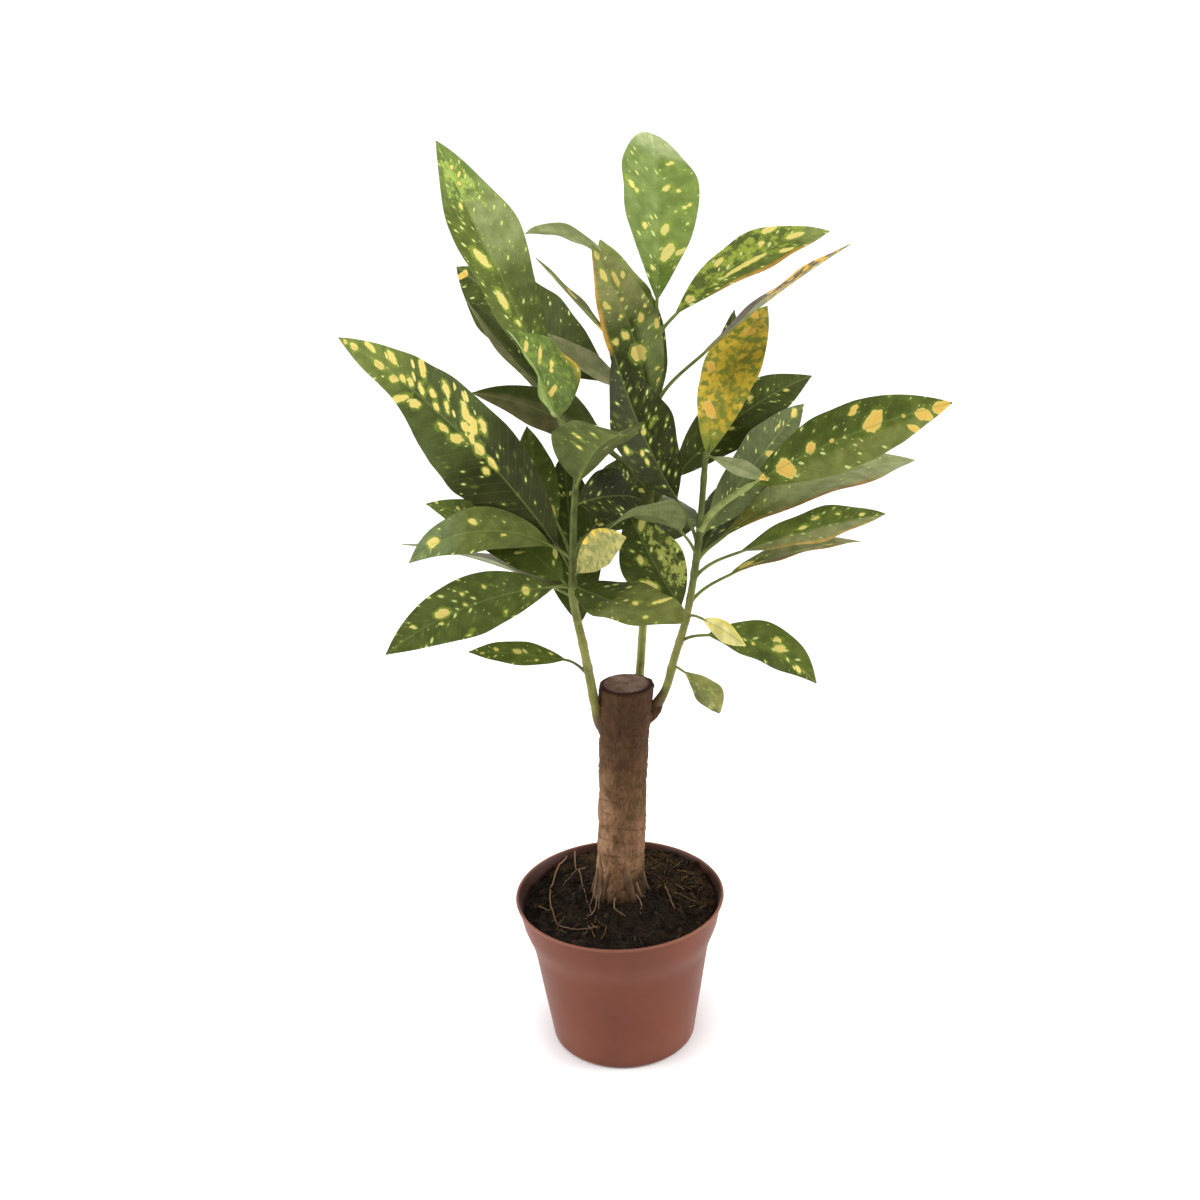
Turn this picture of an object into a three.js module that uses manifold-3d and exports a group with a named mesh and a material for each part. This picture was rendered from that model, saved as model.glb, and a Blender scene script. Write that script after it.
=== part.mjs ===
// Potted croton: a gold-dust croton grown from a cut stump, in a round plastic nursery pot.
// Millimetres, +Z up. The origin is the centre of the pot's underside and +Y points away from the front.

import * as THREE from 'three';
import { mergeVertices } from 'three/addons/utils/BufferGeometryUtils.js';
import Module from 'manifold-3d';

const wasm = await Module();
wasm.setup();

// Driving dimensions of the pot
const POT_HEIGHT = 92;
const RIM_RADIUS = 60; // outside of the lip
const COLLAR_HEIGHT = 19; // lip to the shoulder
const COLLAR_FOOT_RADIUS = 56;
const WALL_TOP_RADIUS = 52; // outside, under the shoulder
const BASE_RADIUS = 42;
const BASE_ROUNDING = 3;
const WALL = 1.2;
const LIP_HEIGHT = 1.6;
const FLOOR_TOP = 3.6; // the floor's inner face
const FLOOR_RECESS = 2; // how far the underside is raised between the centre disc and the foot ring
const CENTRE_DISC_RADIUS = 12;
const FOOT_RING_INNER_RADIUS = 33;
const DRAIN_HOLES = 8;
const DRAIN_RADIUS = 3.5;
const DRAIN_CIRCLE = 26;
const POT_SIDES = 32;
const DRAIN_SIDES = 8;

// Driving dimensions of the soil
const SOIL_EDGE = 80; // height of the soil at the pot's wall
const SOIL_MOUND = 13; // how much higher it lies against the trunk
const SOIL_SLOPE = 8.5; // how much higher it lies at the back right
const SOIL_SLOPE_TURN = 60;
const SOIL_LUMP = 1.1;

// Driving dimensions of the trunk
const TRUNK_FOOT = 48; // the planted end, down in the soil
const TRUNK_CUT = 224; // height of the flat cut
const TRUNK_RADIUS = 13.5;
const FLARE_HEIGHT = 91; // where the root flare is widest
const FLARE = 4;
const FLARE_ROOTS = 5;
const FLARE_REACH = 9;
const HEAD_HEIGHT = 212; // the trunk thickens here, where the shoots break out
const HEAD_REACH = 16;
const HEAD_SWELL = 1.6;
const LEAN = 0.058; // sideways per height
const TRUNK_SET = -0.8; // how far off the pot's middle it was planted
const TRUNK_SIDES = 16;

// Driving dimensions of the shoots
const STEM_FOOT_RADIUS = 2.9;
const STEM_TIP_RADIUS = 1.5;
const STEM_SIDES = 6;
const STEM_STEPS = 14;
const PETIOLE_FOOT_RADIUS = 1.2;
const PETIOLE_TIP_RADIUS = 0.7;
const PETIOLE_SIDES = 5;
const BLADE_THICKNESS = 0.8;
const BLADE_END = 0.5; // half width left at both ends of a blade
const WAVE = 0.03; // margin wave, as a share of the blade's width
const WAVES = 2.5; // along a blade
const CURL = 0.25; // how much of the fold is lost again towards the margin
const BROAD = 28; // blades wider than this get two strips on each side of the midrib
const LONG = 60; // blades longer than this get seven steps from foot to tip, the others five

const GAP = 0.35; // room left between neighbouring pieces
const SEED = 7;

const DEGREE = Math.PI / 180;

// Closed geometry to solid and back

function toSolid(geometry) {
  const bare = geometry.clone();
  bare.deleteAttribute('normal');
  bare.deleteAttribute('uv');
  const merged = mergeVertices(bare, 1e-4);
  const solid = new wasm.Manifold(new wasm.Mesh({
    numProp: 3,
    vertProperties: new Float32Array(merged.attributes.position.array),
    triVerts: new Uint32Array(merged.index.array),
  }));
  return solid;
}

function toGeometry(solid) {
  const mesh = solid.getMesh();
  const geometry = new THREE.BufferGeometry();
  geometry.setAttribute('position', new THREE.BufferAttribute(mesh.vertProperties, 3));
  geometry.setIndex(new THREE.BufferAttribute(mesh.triVerts, 1));
  geometry.computeVertexNormals();
  return geometry;
}

function joined(solids) {
  return solids.reduce((whole, solid) => whole.add(solid));
}

// A closed skin over a row of rings of points, each ring running the same way round, with its ends closed
function skin(rings) {
  const sides = rings[0].length;
  const points = rings.flat();
  const faces = [];
  for (let ring = 0; ring + 1 < rings.length; ring += 1) {
    for (let side = 0; side < sides; side += 1) {
      const a = ring * sides + side;
      const b = ring * sides + (side + 1) % sides;
      faces.push(a, b, b + sides, a, b + sides, a + sides);
    }
  }
  const last = (rings.length - 1) * sides;
  for (let side = 1; side + 1 < sides; side += 1) {
    faces.push(0, side + 1, side);
    faces.push(last, last + side, last + side + 1);
  }
  const geometry = new THREE.BufferGeometry().setFromPoints(points);
  geometry.setIndex(faces);
  return geometry;
}

// Pot: one thin moulded shell with a rolled lip, a deep collar and a tapered wall

function potOutline() {
  const shoulder = POT_HEIGHT - COLLAR_HEIGHT;
  const wallTop = shoulder - 4;
  const lipFoot = POT_HEIGHT - LIP_HEIGHT;
  const collarTop = RIM_RADIUS - 1.1;
  const outside = [
    [0, 0],
    [CENTRE_DISC_RADIUS, 0],
    [CENTRE_DISC_RADIUS + 0.8, FLOOR_RECESS],
    [FOOT_RING_INNER_RADIUS - 0.8, FLOOR_RECESS],
    [FOOT_RING_INNER_RADIUS, 0],
    [BASE_RADIUS - BASE_ROUNDING, 0],
    [BASE_RADIUS - BASE_ROUNDING * 0.3, BASE_ROUNDING * 0.3],
    [BASE_RADIUS, BASE_ROUNDING],
    [WALL_TOP_RADIUS, wallTop],
    [COLLAR_FOOT_RADIUS - 0.6, shoulder - 0.6],
    [COLLAR_FOOT_RADIUS, shoulder + 0.6],
    [collarTop, lipFoot],
    [RIM_RADIUS, lipFoot + 0.3],
    [RIM_RADIUS, POT_HEIGHT - 0.4],
    [RIM_RADIUS - 0.4, POT_HEIGHT],
  ];
  const inside = [
    [RIM_RADIUS - 1.6, POT_HEIGHT],
    [collarTop - WALL, lipFoot],
    [COLLAR_FOOT_RADIUS - WALL, shoulder + 1],
    [WALL_TOP_RADIUS - WALL, wallTop + 0.6],
    [BASE_RADIUS - WALL, FLOOR_TOP],
    [0, FLOOR_TOP],
  ];
  return [...outside, ...inside].map(([radius, height]) => new THREE.Vector2(radius, height));
}

// Lathe turned so that its axis is Z
function turned(outline, sides) {
  return new THREE.LatheGeometry(outline, sides).rotateX(Math.PI / 2);
}

function potSolid() {
  let shell = toSolid(turned(potOutline(), POT_SIDES));
  for (let hole = 0; hole < DRAIN_HOLES; hole += 1) {
    const turn = (hole + 0.5) / DRAIN_HOLES * 2 * Math.PI;
    const drill = new THREE.CylinderGeometry(DRAIN_RADIUS, DRAIN_RADIUS, 3 * FLOOR_TOP, DRAIN_SIDES)
      .rotateX(Math.PI / 2)
      .translate(DRAIN_CIRCLE * Math.cos(turn), DRAIN_CIRCLE * Math.sin(turn), 0);
    shell = shell.subtract(toSolid(drill));
  }
  return shell;
}

// Trunk: a cut stump with a root flare, leaning a little to the right

function trunkCentre(height) {
  return new THREE.Vector3(LEAN * (height - SOIL_EDGE) + TRUNK_SET, 0, height);
}

function trunkRing(height, extra) {
  const centre = trunkCentre(height);
  const flare = FLARE * Math.exp(-(((height - FLARE_HEIGHT) / FLARE_REACH) ** 2));
  const swell = HEAD_SWELL * Math.exp(-(((height - HEAD_HEIGHT) / HEAD_REACH) ** 2));
  return Array.from({ length: TRUNK_SIDES }, (_, side) => {
    const turn = side / TRUNK_SIDES * 2 * Math.PI;
    const roots = 0.45 + 0.55 * Math.cos(FLARE_ROOTS * turn + 0.6);
    const knobbly = 0.35 * Math.sin(2 * turn + 1.1) + 0.25 * Math.sin(3 * turn + height / 17);
    const radius = TRUNK_RADIUS + flare * (0.6 + 0.4 * roots) + swell + knobbly + extra;
    return new THREE.Vector3(radius * Math.cos(turn), radius * Math.sin(turn), 0).add(centre);
  });
}

const TRUNK_HEIGHTS = [TRUNK_FOOT, 66, 78, 84, 90, 96, 104, 116, 132, 150, 168, 184, 198, 208, 218];

function trunkBody() {
  const rings = TRUNK_HEIGHTS.map((height) => trunkRing(height, 0));
  rings.push(trunkRing(TRUNK_CUT - 0.8, 0), trunkRing(TRUNK_CUT, -0.7));
  return toSolid(skin(rings));
}

// The same trunk with room all round, which the soil leaves free
function trunkRoom() {
  const rings = TRUNK_HEIGHTS.map((height) => trunkRing(height, GAP));
  rings.unshift(trunkRing(TRUNK_FOOT - GAP, GAP));
  return toSolid(skin(rings));
}

// Stems: points from the socket in the trunk to the growing tip
const STEMS = {
  left: [
    [-2, -1, 190], [-7, -2, 201], [-10, -4, 214], [-11.5, -5.5, 226], [-15, -8, 251],
    [-19, -12, 279], [-18, -15, 308], [-16, -18, 336], [-13, -20, 358],
  ],
  middle: [
    [10, 7, 200], [14, 13.5, 212], [16, 16.5, 226], [17.5, 17.5, 243], [20, 18, 271],
    [23, 20, 311], [26, 22, 355], [27, 22, 387], [30, 24, 413],
  ],
  right: [
    [13, 0, 198], [21, 0, 207], [26, 0, 213.5], [30, -0.5, 222], [34, -2, 238],
    [40, -4, 259], [44, -5, 279], [48, -7, 308], [50, -8, 330], [52, -10, 356],
  ],
};

// Centre of a stem at a height, on smooth cubics through its points
function stemCentre(points, height) {
  const last = points.length - 2;
  let step = 0;
  while (step < last && height > points[step + 1][2]) step += 1;
  const slope = (at, axis) => {
    const before = points[Math.max(at - 1, 0)];
    const after = points[Math.min(at + 1, points.length - 1)];
    return (after[axis] - before[axis]) / (after[2] - before[2]);
  };
  const [from, to] = [points[step], points[step + 1]];
  const rise = to[2] - from[2];
  const t = (height - from[2]) / rise;
  const blend = (axis) => (2 * t ** 3 - 3 * t ** 2 + 1) * from[axis] + (3 * t ** 2 - 2 * t ** 3) * to[axis]
    + (t ** 3 - 2 * t ** 2 + t) * rise * slope(step, axis) + (t ** 3 - t ** 2) * rise * slope(step + 1, axis);
  return new THREE.Vector3(blend(0), blend(1), height);
}

// Round rings along a row of points, each square to the path
function tubeRings(path, radii, sides) {
  return path.map((point, at) => {
    const ahead = path[Math.min(at + 1, path.length - 1)];
    const behind = path[Math.max(at - 1, 0)];
    const along = ahead.clone().sub(behind).normalize();
    const helper = Math.abs(along.x) > 0.9 ? new THREE.Vector3(0, 1, 0) : new THREE.Vector3(1, 0, 0);
    const across = helper.clone().addScaledVector(along, -helper.dot(along)).normalize();
    const up = new THREE.Vector3().crossVectors(along, across);
    return Array.from({ length: sides }, (_, side) => {
      const turn = side / sides * 2 * Math.PI;
      return point.clone()
        .addScaledVector(across, radii[at] * Math.cos(turn))
        .addScaledVector(up, radii[at] * Math.sin(turn));
    });
  });
}

function stemPath(points) {
  const foot = points[0][2];
  const tip = points[points.length - 1][2];
  return Array.from({ length: STEM_STEPS + 1 }, (_, step) => (
    stemCentre(points, foot + (tip - foot) * step / STEM_STEPS)));
}

function stemRadius(points, height) {
  const share = (height - points[0][2]) / (points[points.length - 1][2] - points[0][2]);
  return STEM_FOOT_RADIUS + (STEM_TIP_RADIUS - STEM_FOOT_RADIUS) * share;
}

function stemSolid(points, extra) {
  const path = stemPath(points);
  const radii = path.map((point) => stemRadius(points, point.z) + extra);
  if (extra > 0) {
    const along = path[1].clone().sub(path[0]).normalize();
    path[0].addScaledVector(along, -extra);
  }
  return toSolid(skin(tubeRings(path, radii, STEM_SIDES)));
}

// Bark collars: the swollen lips of bark that the shoots break out of
const COLLARS = [
  { centre: [-5.2, -1.6, 197], size: [4.3, 4.5, 8], lean: -16 },
  { centre: [12.5, 11.5, 208], size: [5.0, 5.0, 8], lean: 8 },
  { centre: [20.5, 0, 205.5], size: [4.7, 4.7, 10], lean: 42 },
];

function collarSolid({ centre, size, lean }) {
  const bump = new THREE.SphereGeometry(1, 12, 8)
    .scale(size[0], size[1], size[2])
    .rotateY(lean * DEGREE)
    .translate(centre[0], centre[1], centre[2]);
  return toSolid(bump);
}

function trunkSolid() {
  let trunk = joined([trunkBody(), ...COLLARS.map(collarSolid)]);
  for (const points of Object.values(STEMS)) trunk = trunk.subtract(stemSolid(points, GAP));
  return trunk;
}

// Soil: the root ball, fitted to the pot, with a mounded lumpy top and a hole for the trunk

function soilHeight(x, y) {
  const radius = Math.hypot(x, y);
  const reach = COLLAR_FOOT_RADIUS - WALL;
  const inward = THREE.MathUtils.smoothstep(reach - radius, 0, reach - TRUNK_RADIUS);
  const uphill = Math.max(0, Math.cos(Math.atan2(y, x) - SOIL_SLOPE_TURN * DEGREE)) * radius / reach;
  const lumps = Math.sin(x / 4.1 + 1) * Math.cos(y / 3.7)
    + 0.6 * Math.sin((x + y) / 6.3) * Math.cos((x - y) / 2.9);
  return SOIL_EDGE + SOIL_MOUND * inward + SOIL_SLOPE * uphill + SOIL_LUMP * lumps;
}

function soilSolid() {
  const shoulder = POT_HEIGHT - COLLAR_HEIGHT;
  const room = WALL + GAP;
  const topRings = 9;
  const edge = COLLAR_FOOT_RADIUS - room;
  const outline = [
    [0, FLOOR_TOP + GAP],
    [BASE_RADIUS - room, FLOOR_TOP + GAP],
    [WALL_TOP_RADIUS - room, shoulder - 3],
    [COLLAR_FOOT_RADIUS - room, shoulder + 2.2],
  ];
  for (let ring = 0; ring <= topRings; ring += 1) {
    outline.push([edge * (1 - ring / topRings), SOIL_EDGE]);
  }
  const corners = outline.map(([radius, height]) => new THREE.Vector2(radius, height));
  const ball = turned(corners, POT_SIDES);
  const place = ball.attributes.position;
  for (let point = 0; point < place.count; point += 1) {
    if (place.getZ(point) > SOIL_EDGE - 0.01) {
      place.setZ(point, soilHeight(place.getX(point), place.getY(point)));
    }
  }
  return toSolid(ball).subtract(trunkRoom());
}

// Leaves. Each row is one leaf: the height where its petiole leaves the stem, the compass turn of its
// growth (0 to the right, 90 away from the front), its rise above level, the petiole's length, the
// blade's length and width, how far the blade droops, its roll about the midrib, its sideways sweep,
// where along the blade it is widest, and for a few of them a blunter tip or a deeper fold.
const LEAVES = {
  left: [
    [240, 184, 13, 12, 52, 16, 8, 33, 0, 0.48],
    [255, 98, 57, 8, 94, 36, -17, 13, 0, 0.48],
    [287, 195, 4, 10, 96, 32, 37, 74, 4, 0.48],
    [287, 321, -8, 3, 75, 38, -15, -10, -13, 0.46, { blunt: 0.65 }],
    [281, 148, 15, 7, 107, 32, 19, -22, 0, 0.48],
    [284, 150, 40, 8, 89, 29, 35, 45, 7, 0.42],
    [291, 306, 47, 6, 62, 20, 27, -95, -12, 0.5],
    [297, 152, 52, 15, 170, 50, 32, 82, -8, 0.42],
    [304, 168, 26, 13, 85, 27, 71, 45, -2, 0.49],
    [304, 119, 41, 21, 67, 20, 10, 7, -24, 0.48],
    [308, 60, 13, 15, 96, 36, -2, -43, 0, 0.48],
    [333, 33, 5, 3, 49, 30, 34, -62, 24, 0.43],
    [342, 294, 52, 6, 79, 48, 41, 8, -5, 0.47, { fold: 26 }],
    [352, 165, 72, 29, 51, 50, 19, 17, 26, 0.38, { fold: 25 }],
    [357, 143, 65, 27, 146, 48, 3, 9, 10, 0.62],
  ],
  middle: [
    [292, 72, 17, 7, 75, 36, 32, -24, 0, 0.48],
    [318, 32, 38, 22, 106, 34, 31, -36, 3, 0.47],
    [331, 161, 39, 24, 116, 34, -9, -1, -8, 0.5],
    [330, 188, 43, 33, 78, 25, 31, 49, 5, 0.45],
    [356, 99, 58, 8, 96, 33, 13, 27, 0, 0.48],
    [366, 238, 74, 10, 103, 30, 26, 135, -3, 0.43],
    [371, 136, 21, 32, 136, 44, 0, 52, -7, 0.51],
    [371, 151, 30, 22, 50, 16, -2, 21, 3, 0.44],
    [377, 352, 42, 35, 94, 29, 11, 3, 0, 0.48],
    [386, 160, 45, 24, 65, 20, -1, -17, -2, 0.48],
    [384, 113, 56, 15, 78, 34, 20, -20, 0, 0.48],
    [404, 80, 65, 25, 106, 47, 34, -26, 14, 0.61, { blunt: 0.65 }],
    [411, 17, 42, 13, 98, 28, 40, -31, 3, 0.54],
    [413, 168, 54, 42, 50, 16, 70, -38, -10, 0.52],
  ],
  right: [
    [235, 318, -16, 7, 32, 17, 39, -13, -3, 0.62],
    [252, 340, 9, 15, 66, 29, 54, -21, -9, 0.48],
    [264, 155, 55, 6, 58, 37, -8, 75, -9, 0.47],
    [266, 312, -4, 11, 33, 12, 12, -82, -6, 0.52],
    [292, 65, 25, 10, 90, 28, 21, 5, 0, 0.48],
    [277, 8, 23, 23, 73, 20, 26, -2, -1, 0.49],
    [292, 356, 20, 25, 78, 30, 10, -17, -2, 0.54],
    [302, 206, 52, 16, 55, 31, 84, -30, 15, 0.42],
    [298, 25, 28, 14, 136, 37, 37, -12, 6, 0.59],
    [308, 47, 33, 6, 106, 32, 12, -71, 5, 0.49],
    [310, 168, 60, 23, 84, 37, -17, 50, 8, 0.47],
    [321, 8, 29, 28, 117, 34, 21, -78, 1, 0.5],
    [345, 74, 41, 12, 96, 24, 5, 33, 0, 0.48],
    [345, 64, 58, 9, 104, 31, 40, -11, -5, 0.49],
    [355, 331, -15, 4, 32, 10, 2, -35, 0, 0.51],
  ],
};

function readLeaf(row) {
  const [at, turn, rise, stalk, long, wide, droop, roll, sweep, fullest, more] = row;
  return { at, turn, rise, stalk, long, wide, droop, roll, sweep, fullest, blunt: 0.9, fold: 12, ...more };
}

// Direction of growth at a share of the blade's length, and the blade's own right and upper sides there
function leafFrame(leaf, share) {
  const turn = (leaf.turn + leaf.sweep * share) * DEGREE;
  const rise = (leaf.rise - leaf.droop * share) * DEGREE;
  const roll = leaf.roll * DEGREE;
  const along = new THREE.Vector3(
    Math.cos(turn) * Math.cos(rise),
    Math.sin(turn) * Math.cos(rise),
    Math.sin(rise),
  );
  const level = new THREE.Vector3(Math.sin(turn), -Math.cos(turn), 0);
  const above = new THREE.Vector3().crossVectors(level, along);
  const right = level.clone().multiplyScalar(Math.cos(roll)).addScaledVector(above, Math.sin(roll));
  const face = above.clone().multiplyScalar(Math.cos(roll)).addScaledVector(level, -Math.sin(roll));
  return { along, right, face };
}

// Points of the midrib, from the end of the petiole to the tip
function midrib(leaf, stem, steps) {
  const fine = 4;
  const point = stemCentre(stem, leaf.at).addScaledVector(leafFrame(leaf, 0).along, leaf.stalk);
  const points = [point.clone()];
  for (let step = 0; step < steps * fine; step += 1) {
    const share = (step + 0.5) / (steps * fine);
    point.addScaledVector(leafFrame(leaf, share).along, leaf.long / (steps * fine));
    if ((step + 1) % fine === 0) points.push(point.clone());
  }
  return points;
}

function halfWidth(leaf, share) {
  const bend = Math.log(0.5) / Math.log(leaf.fullest);
  const swell = Math.sin(Math.PI * Math.min(1, Math.max(0, share)) ** bend);
  return Math.max(BLADE_END, leaf.wide / 2 * Math.max(0, swell) ** leaf.blunt);
}

// The blade: rings of points round its thickness, folded along the midrib and waved along its margins
function bladeSolid(leaf, stem, phase) {
  const steps = leaf.long > LONG ? 7 : 5;
  const strips = leaf.wide > BROAD ? 2 : 1;
  const spine = midrib(leaf, stem, steps);
  const rings = spine.map((centre, step) => {
    const share = step / steps;
    const { right, face } = leafFrame(leaf, share);
    const half = halfWidth(leaf, share);
    const fold = leaf.fold * DEGREE;
    const place = (column, side) => {
      const out = column / strips;
      const turn = 2 * Math.PI * WAVES * share + phase + (out > 0 ? 0 : 2);
      const lift = half * Math.tan(fold) * (Math.abs(out) - CURL * out ** 2);
      const wave = 2 * WAVE * half * Math.sin(turn) * out ** 2;
      return centre.clone()
        .addScaledVector(right, out * half * Math.cos(fold))
        .addScaledVector(face, lift + wave + side * BLADE_THICKNESS / 2);
    };
    const upper = [];
    const lower = [];
    for (let column = -strips; column <= strips; column += 1) {
      upper.unshift(place(column, 1));
      lower.push(place(column, -1));
    }
    return [...lower, ...upper];
  });
  return bladeSkin(rings);
}

// Upper and lower faces are split into the same triangles, so that a thin waved blade never crosses itself
function bladeSkin(rings) {
  const count = rings[0].length;
  const columns = count / 2;
  const points = rings.flat();
  const faces = [];
  const low = (ring, column) => ring * count + column;
  const high = (ring, column) => ring * count + count - 1 - column;
  const quad = (a, b, c, d) => faces.push(a, b, c, a, c, d);
  for (let ring = 0; ring + 1 < rings.length; ring += 1) {
    for (let column = 0; column + 1 < columns; column += 1) {
      quad(low(ring, column), low(ring + 1, column), low(ring + 1, column + 1), low(ring, column + 1));
      faces.push(high(ring, column), high(ring + 1, column + 1), high(ring + 1, column));
      faces.push(high(ring, column), high(ring, column + 1), high(ring + 1, column + 1));
    }
    quad(low(ring, 0), high(ring, 0), high(ring + 1, 0), low(ring + 1, 0));
    const edge = columns - 1;
    quad(low(ring, edge), low(ring + 1, edge), high(ring + 1, edge), high(ring, edge));
  }
  for (let column = 0; column + 1 < columns; column += 1) {
    const end = rings.length - 1;
    quad(low(0, column), low(0, column + 1), high(0, column + 1), high(0, column));
    quad(low(end, column), high(end, column), high(end, column + 1), low(end, column + 1));
  }
  const geometry = new THREE.BufferGeometry().setFromPoints(points);
  geometry.setIndex(faces);
  return toSolid(geometry);
}

// The petiole runs from inside the stem to a little way along the blade
function petioleSolid(leaf, stem) {
  const foot = stemCentre(stem, leaf.at);
  const spine = midrib(leaf, stem, 8);
  const path = [foot, foot.clone().lerp(spine[0], 0.5), spine[0], spine[1]];
  const slim = PETIOLE_TIP_RADIUS + (PETIOLE_FOOT_RADIUS - PETIOLE_TIP_RADIUS) * Math.min(1, leaf.long / 90);
  const radii = [slim, slim * 0.9, slim * 0.85, PETIOLE_TIP_RADIUS * 0.8];
  return toSolid(skin(tubeRings(path, radii, PETIOLE_SIDES)));
}

// Seeded random numbers, the same on every run
function randomFrom(seed) {
  let state = seed;
  return () => {
    state = (state * 1664525 + 1013904223) % 4294967296;
    return state / 4294967296;
  };
}

function shootSolid(side) {
  const stem = STEMS[side];
  const random = randomFrom(SEED);
  const parts = [stemSolid(stem, 0)];
  for (const row of LEAVES[side]) {
    const leaf = readLeaf(row);
    parts.push(petioleSolid(leaf, stem), bladeSolid(leaf, stem, 2 * Math.PI * random()));
  }
  return joined(parts);
}

// The assembly, one named mesh for each piece

function piece(name, solid, look) {
  const mesh = new THREE.Mesh(toGeometry(solid), new THREE.MeshStandardMaterial({ metalness: 0, ...look }));
  mesh.name = name;
  return mesh;
}

const plant = new THREE.Group();
plant.add(
  piece('pot', potSolid(), { color: 0x9a5a44, roughness: 0.45 }),
  piece('soil', soilSolid(), { color: 0x2a1d13, roughness: 0.95 }),
  piece('trunk', trunkSolid(), { color: 0x5f4630, roughness: 0.85 }),
  piece('leafy_shoot_left', shootSolid('left'), { color: 0x3f5a25, roughness: 0.4 }),
  piece('leafy_shoot_middle', shootSolid('middle'), { color: 0x43602a, roughness: 0.4 }),
  piece('leafy_shoot_right', shootSolid('right'), { color: 0x3c5523, roughness: 0.4 }),
);

export default plant;
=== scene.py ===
# Potted croton, dressed for rendering: a cut stump with three leafy shoots, in a round plastic nursery pot.
# The plant's sizes are in millimetres, as a gardener would give them. The camera, the paper and the
# lamps are in metres, and so is every finished mesh.

import math
import random

import bmesh
import bpy
import numpy as np
from mathutils import Matrix, Vector, noise


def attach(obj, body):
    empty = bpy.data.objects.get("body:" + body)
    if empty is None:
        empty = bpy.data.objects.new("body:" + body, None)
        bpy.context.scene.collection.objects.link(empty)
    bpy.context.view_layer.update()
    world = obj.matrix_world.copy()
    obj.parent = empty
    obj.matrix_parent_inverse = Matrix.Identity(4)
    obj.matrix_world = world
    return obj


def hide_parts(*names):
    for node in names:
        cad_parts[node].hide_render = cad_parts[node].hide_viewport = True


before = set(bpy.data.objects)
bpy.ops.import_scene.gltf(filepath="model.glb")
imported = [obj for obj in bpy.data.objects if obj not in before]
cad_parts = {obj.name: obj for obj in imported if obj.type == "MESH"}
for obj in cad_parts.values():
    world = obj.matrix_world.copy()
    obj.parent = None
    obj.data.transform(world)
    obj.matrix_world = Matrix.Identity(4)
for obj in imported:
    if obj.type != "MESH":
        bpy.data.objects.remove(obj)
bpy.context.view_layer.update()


# Camera. It stands in front of the plant, about 0.8 m away and a little above its top, and looks
# down at it. The picture is turned by two degrees, as a hand-held one is.
CAMERA_PLACE = (-0.005, -0.8009, 0.584)
CAMERA_PITCH = 21.2
CAMERA_ROLL = -2.17
CAMERA_LENS = 48
CAMERA_SENSOR = 36

camera = bpy.data.objects.new("camera", bpy.data.cameras.new("camera"))
camera.data.lens = CAMERA_LENS
camera.data.sensor_width = CAMERA_SENSOR
camera.matrix_world = (
    Matrix.Translation(CAMERA_PLACE)
    @ Matrix.Rotation(math.radians(90 - CAMERA_PITCH), 4, "X")
    @ Matrix.Rotation(math.radians(CAMERA_ROLL), 4, "Z")
)
bpy.context.scene.collection.objects.link(camera)
bpy.context.scene.camera = camera


# Pot: a thin-walled nursery pot, injection moulded in one shot in terracotta-coloured plastic, with
# a rolled lip, a deep stacking collar, a tapered wall and eight drainage holes in its raised floor.
MM = 0.001
POT_HEIGHT = 92
RIM_RADIUS = 60
COLLAR_HEIGHT = 19
COLLAR_FOOT_RADIUS = 56
COLLAR_SLOPE = 0.18
WALL_TOP_RADIUS = 52
BASE_RADIUS = 42
BASE_ROUNDING = 3
WALL = 1.2
LIP_HEIGHT = 1.6
FLOOR_TOP = 3.6
FLOOR_RECESS = 2
CENTRE_DISC_RADIUS = 12
FOOT_RING_RADIUS = 33
DRAIN_HOLES = 8
DRAIN_RADIUS = 3.5
DRAIN_CIRCLE = 26
DRILL_LENGTH = 20
POT_SIDES = 160
CENTRE_RADIUS = 0.4
SHOULDER = POT_HEIGHT - COLLAR_HEIGHT
TAPER_HEIGHT = SHOULDER - 7
WALL_HEIGHTS = (20, 40, 54)
COLLAR_TOP_RADIUS = RIM_RADIUS - 1.1
LIP_FOOT = POT_HEIGHT - LIP_HEIGHT
# Radius, and height over the shoulder, where the wall swells out into the collar
COLLAR_SWELL = [(50.75, -13), (51.25, -10.6), (51.95, -8.2), (52.8, -5.8), (53.75, -3.4), (54.65, -1),
                (55.5, 1.4), (56.3, 4)]
# The lip's roll: how far inside the rim, and how far over its foot or under its top
LIP_ROLL_UP = [(0.5, 0.1), (0.1, 0.4), (0, 0.8)]
LIP_ROLL_IN = [(0.1, 0.35), (0.4, 0.1), (0.8, 0), (1.2, 0.1), (1.6, 0.6)]
INNER_SHOULDER = [(54, SHOULDER), (51, SHOULDER - 3.4)]
DUST_HEIGHT = 30
# Inside the pot above the soil: the height where peat stain and painted shade begin, and the heights over
# which they darken
STAIN_AND_SHADE_FROM = SHOULDER + 5
STAIN_AND_SHADE_FADE = (90, 82)
TERRACOTTA = (110, 54, 32)
TERRACOTTA_DARK = (101, 48, 28)
# Dust on the plastic, and the painted highlight along the lip
TERRACOTTA_DUST_AND_HIGHLIGHT = (148, 94, 74)
# Peat stain with painted shade inside the pot, and darker deeper down
INSIDE_STAIN_AND_SHADE = (62, 36, 27)
INSIDE_STAIN_AND_SHADE_DEEP = (40, 26, 18)


def linear(rgb):
    """A colour as the eye names it, 0 to 255, in the renderer's linear light."""
    shares = [c / 255 for c in rgb]
    return tuple(c / 12.92 if c <= 0.04045 else ((c + 0.055) / 1.055) ** 2.4 for c in shares) + (1.0,)


def fill(tree, socket, value):
    """Sets a socket to a plain value, or links what a node gives: a socket, or a whole node's first one."""
    if isinstance(value, Value):
        value = value.socket
    if isinstance(value, bpy.types.Node):
        value = value.outputs[0]
    if isinstance(value, bpy.types.NodeSocket):
        tree.links.new(value, socket)
    else:
        socket.default_value = value


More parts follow.
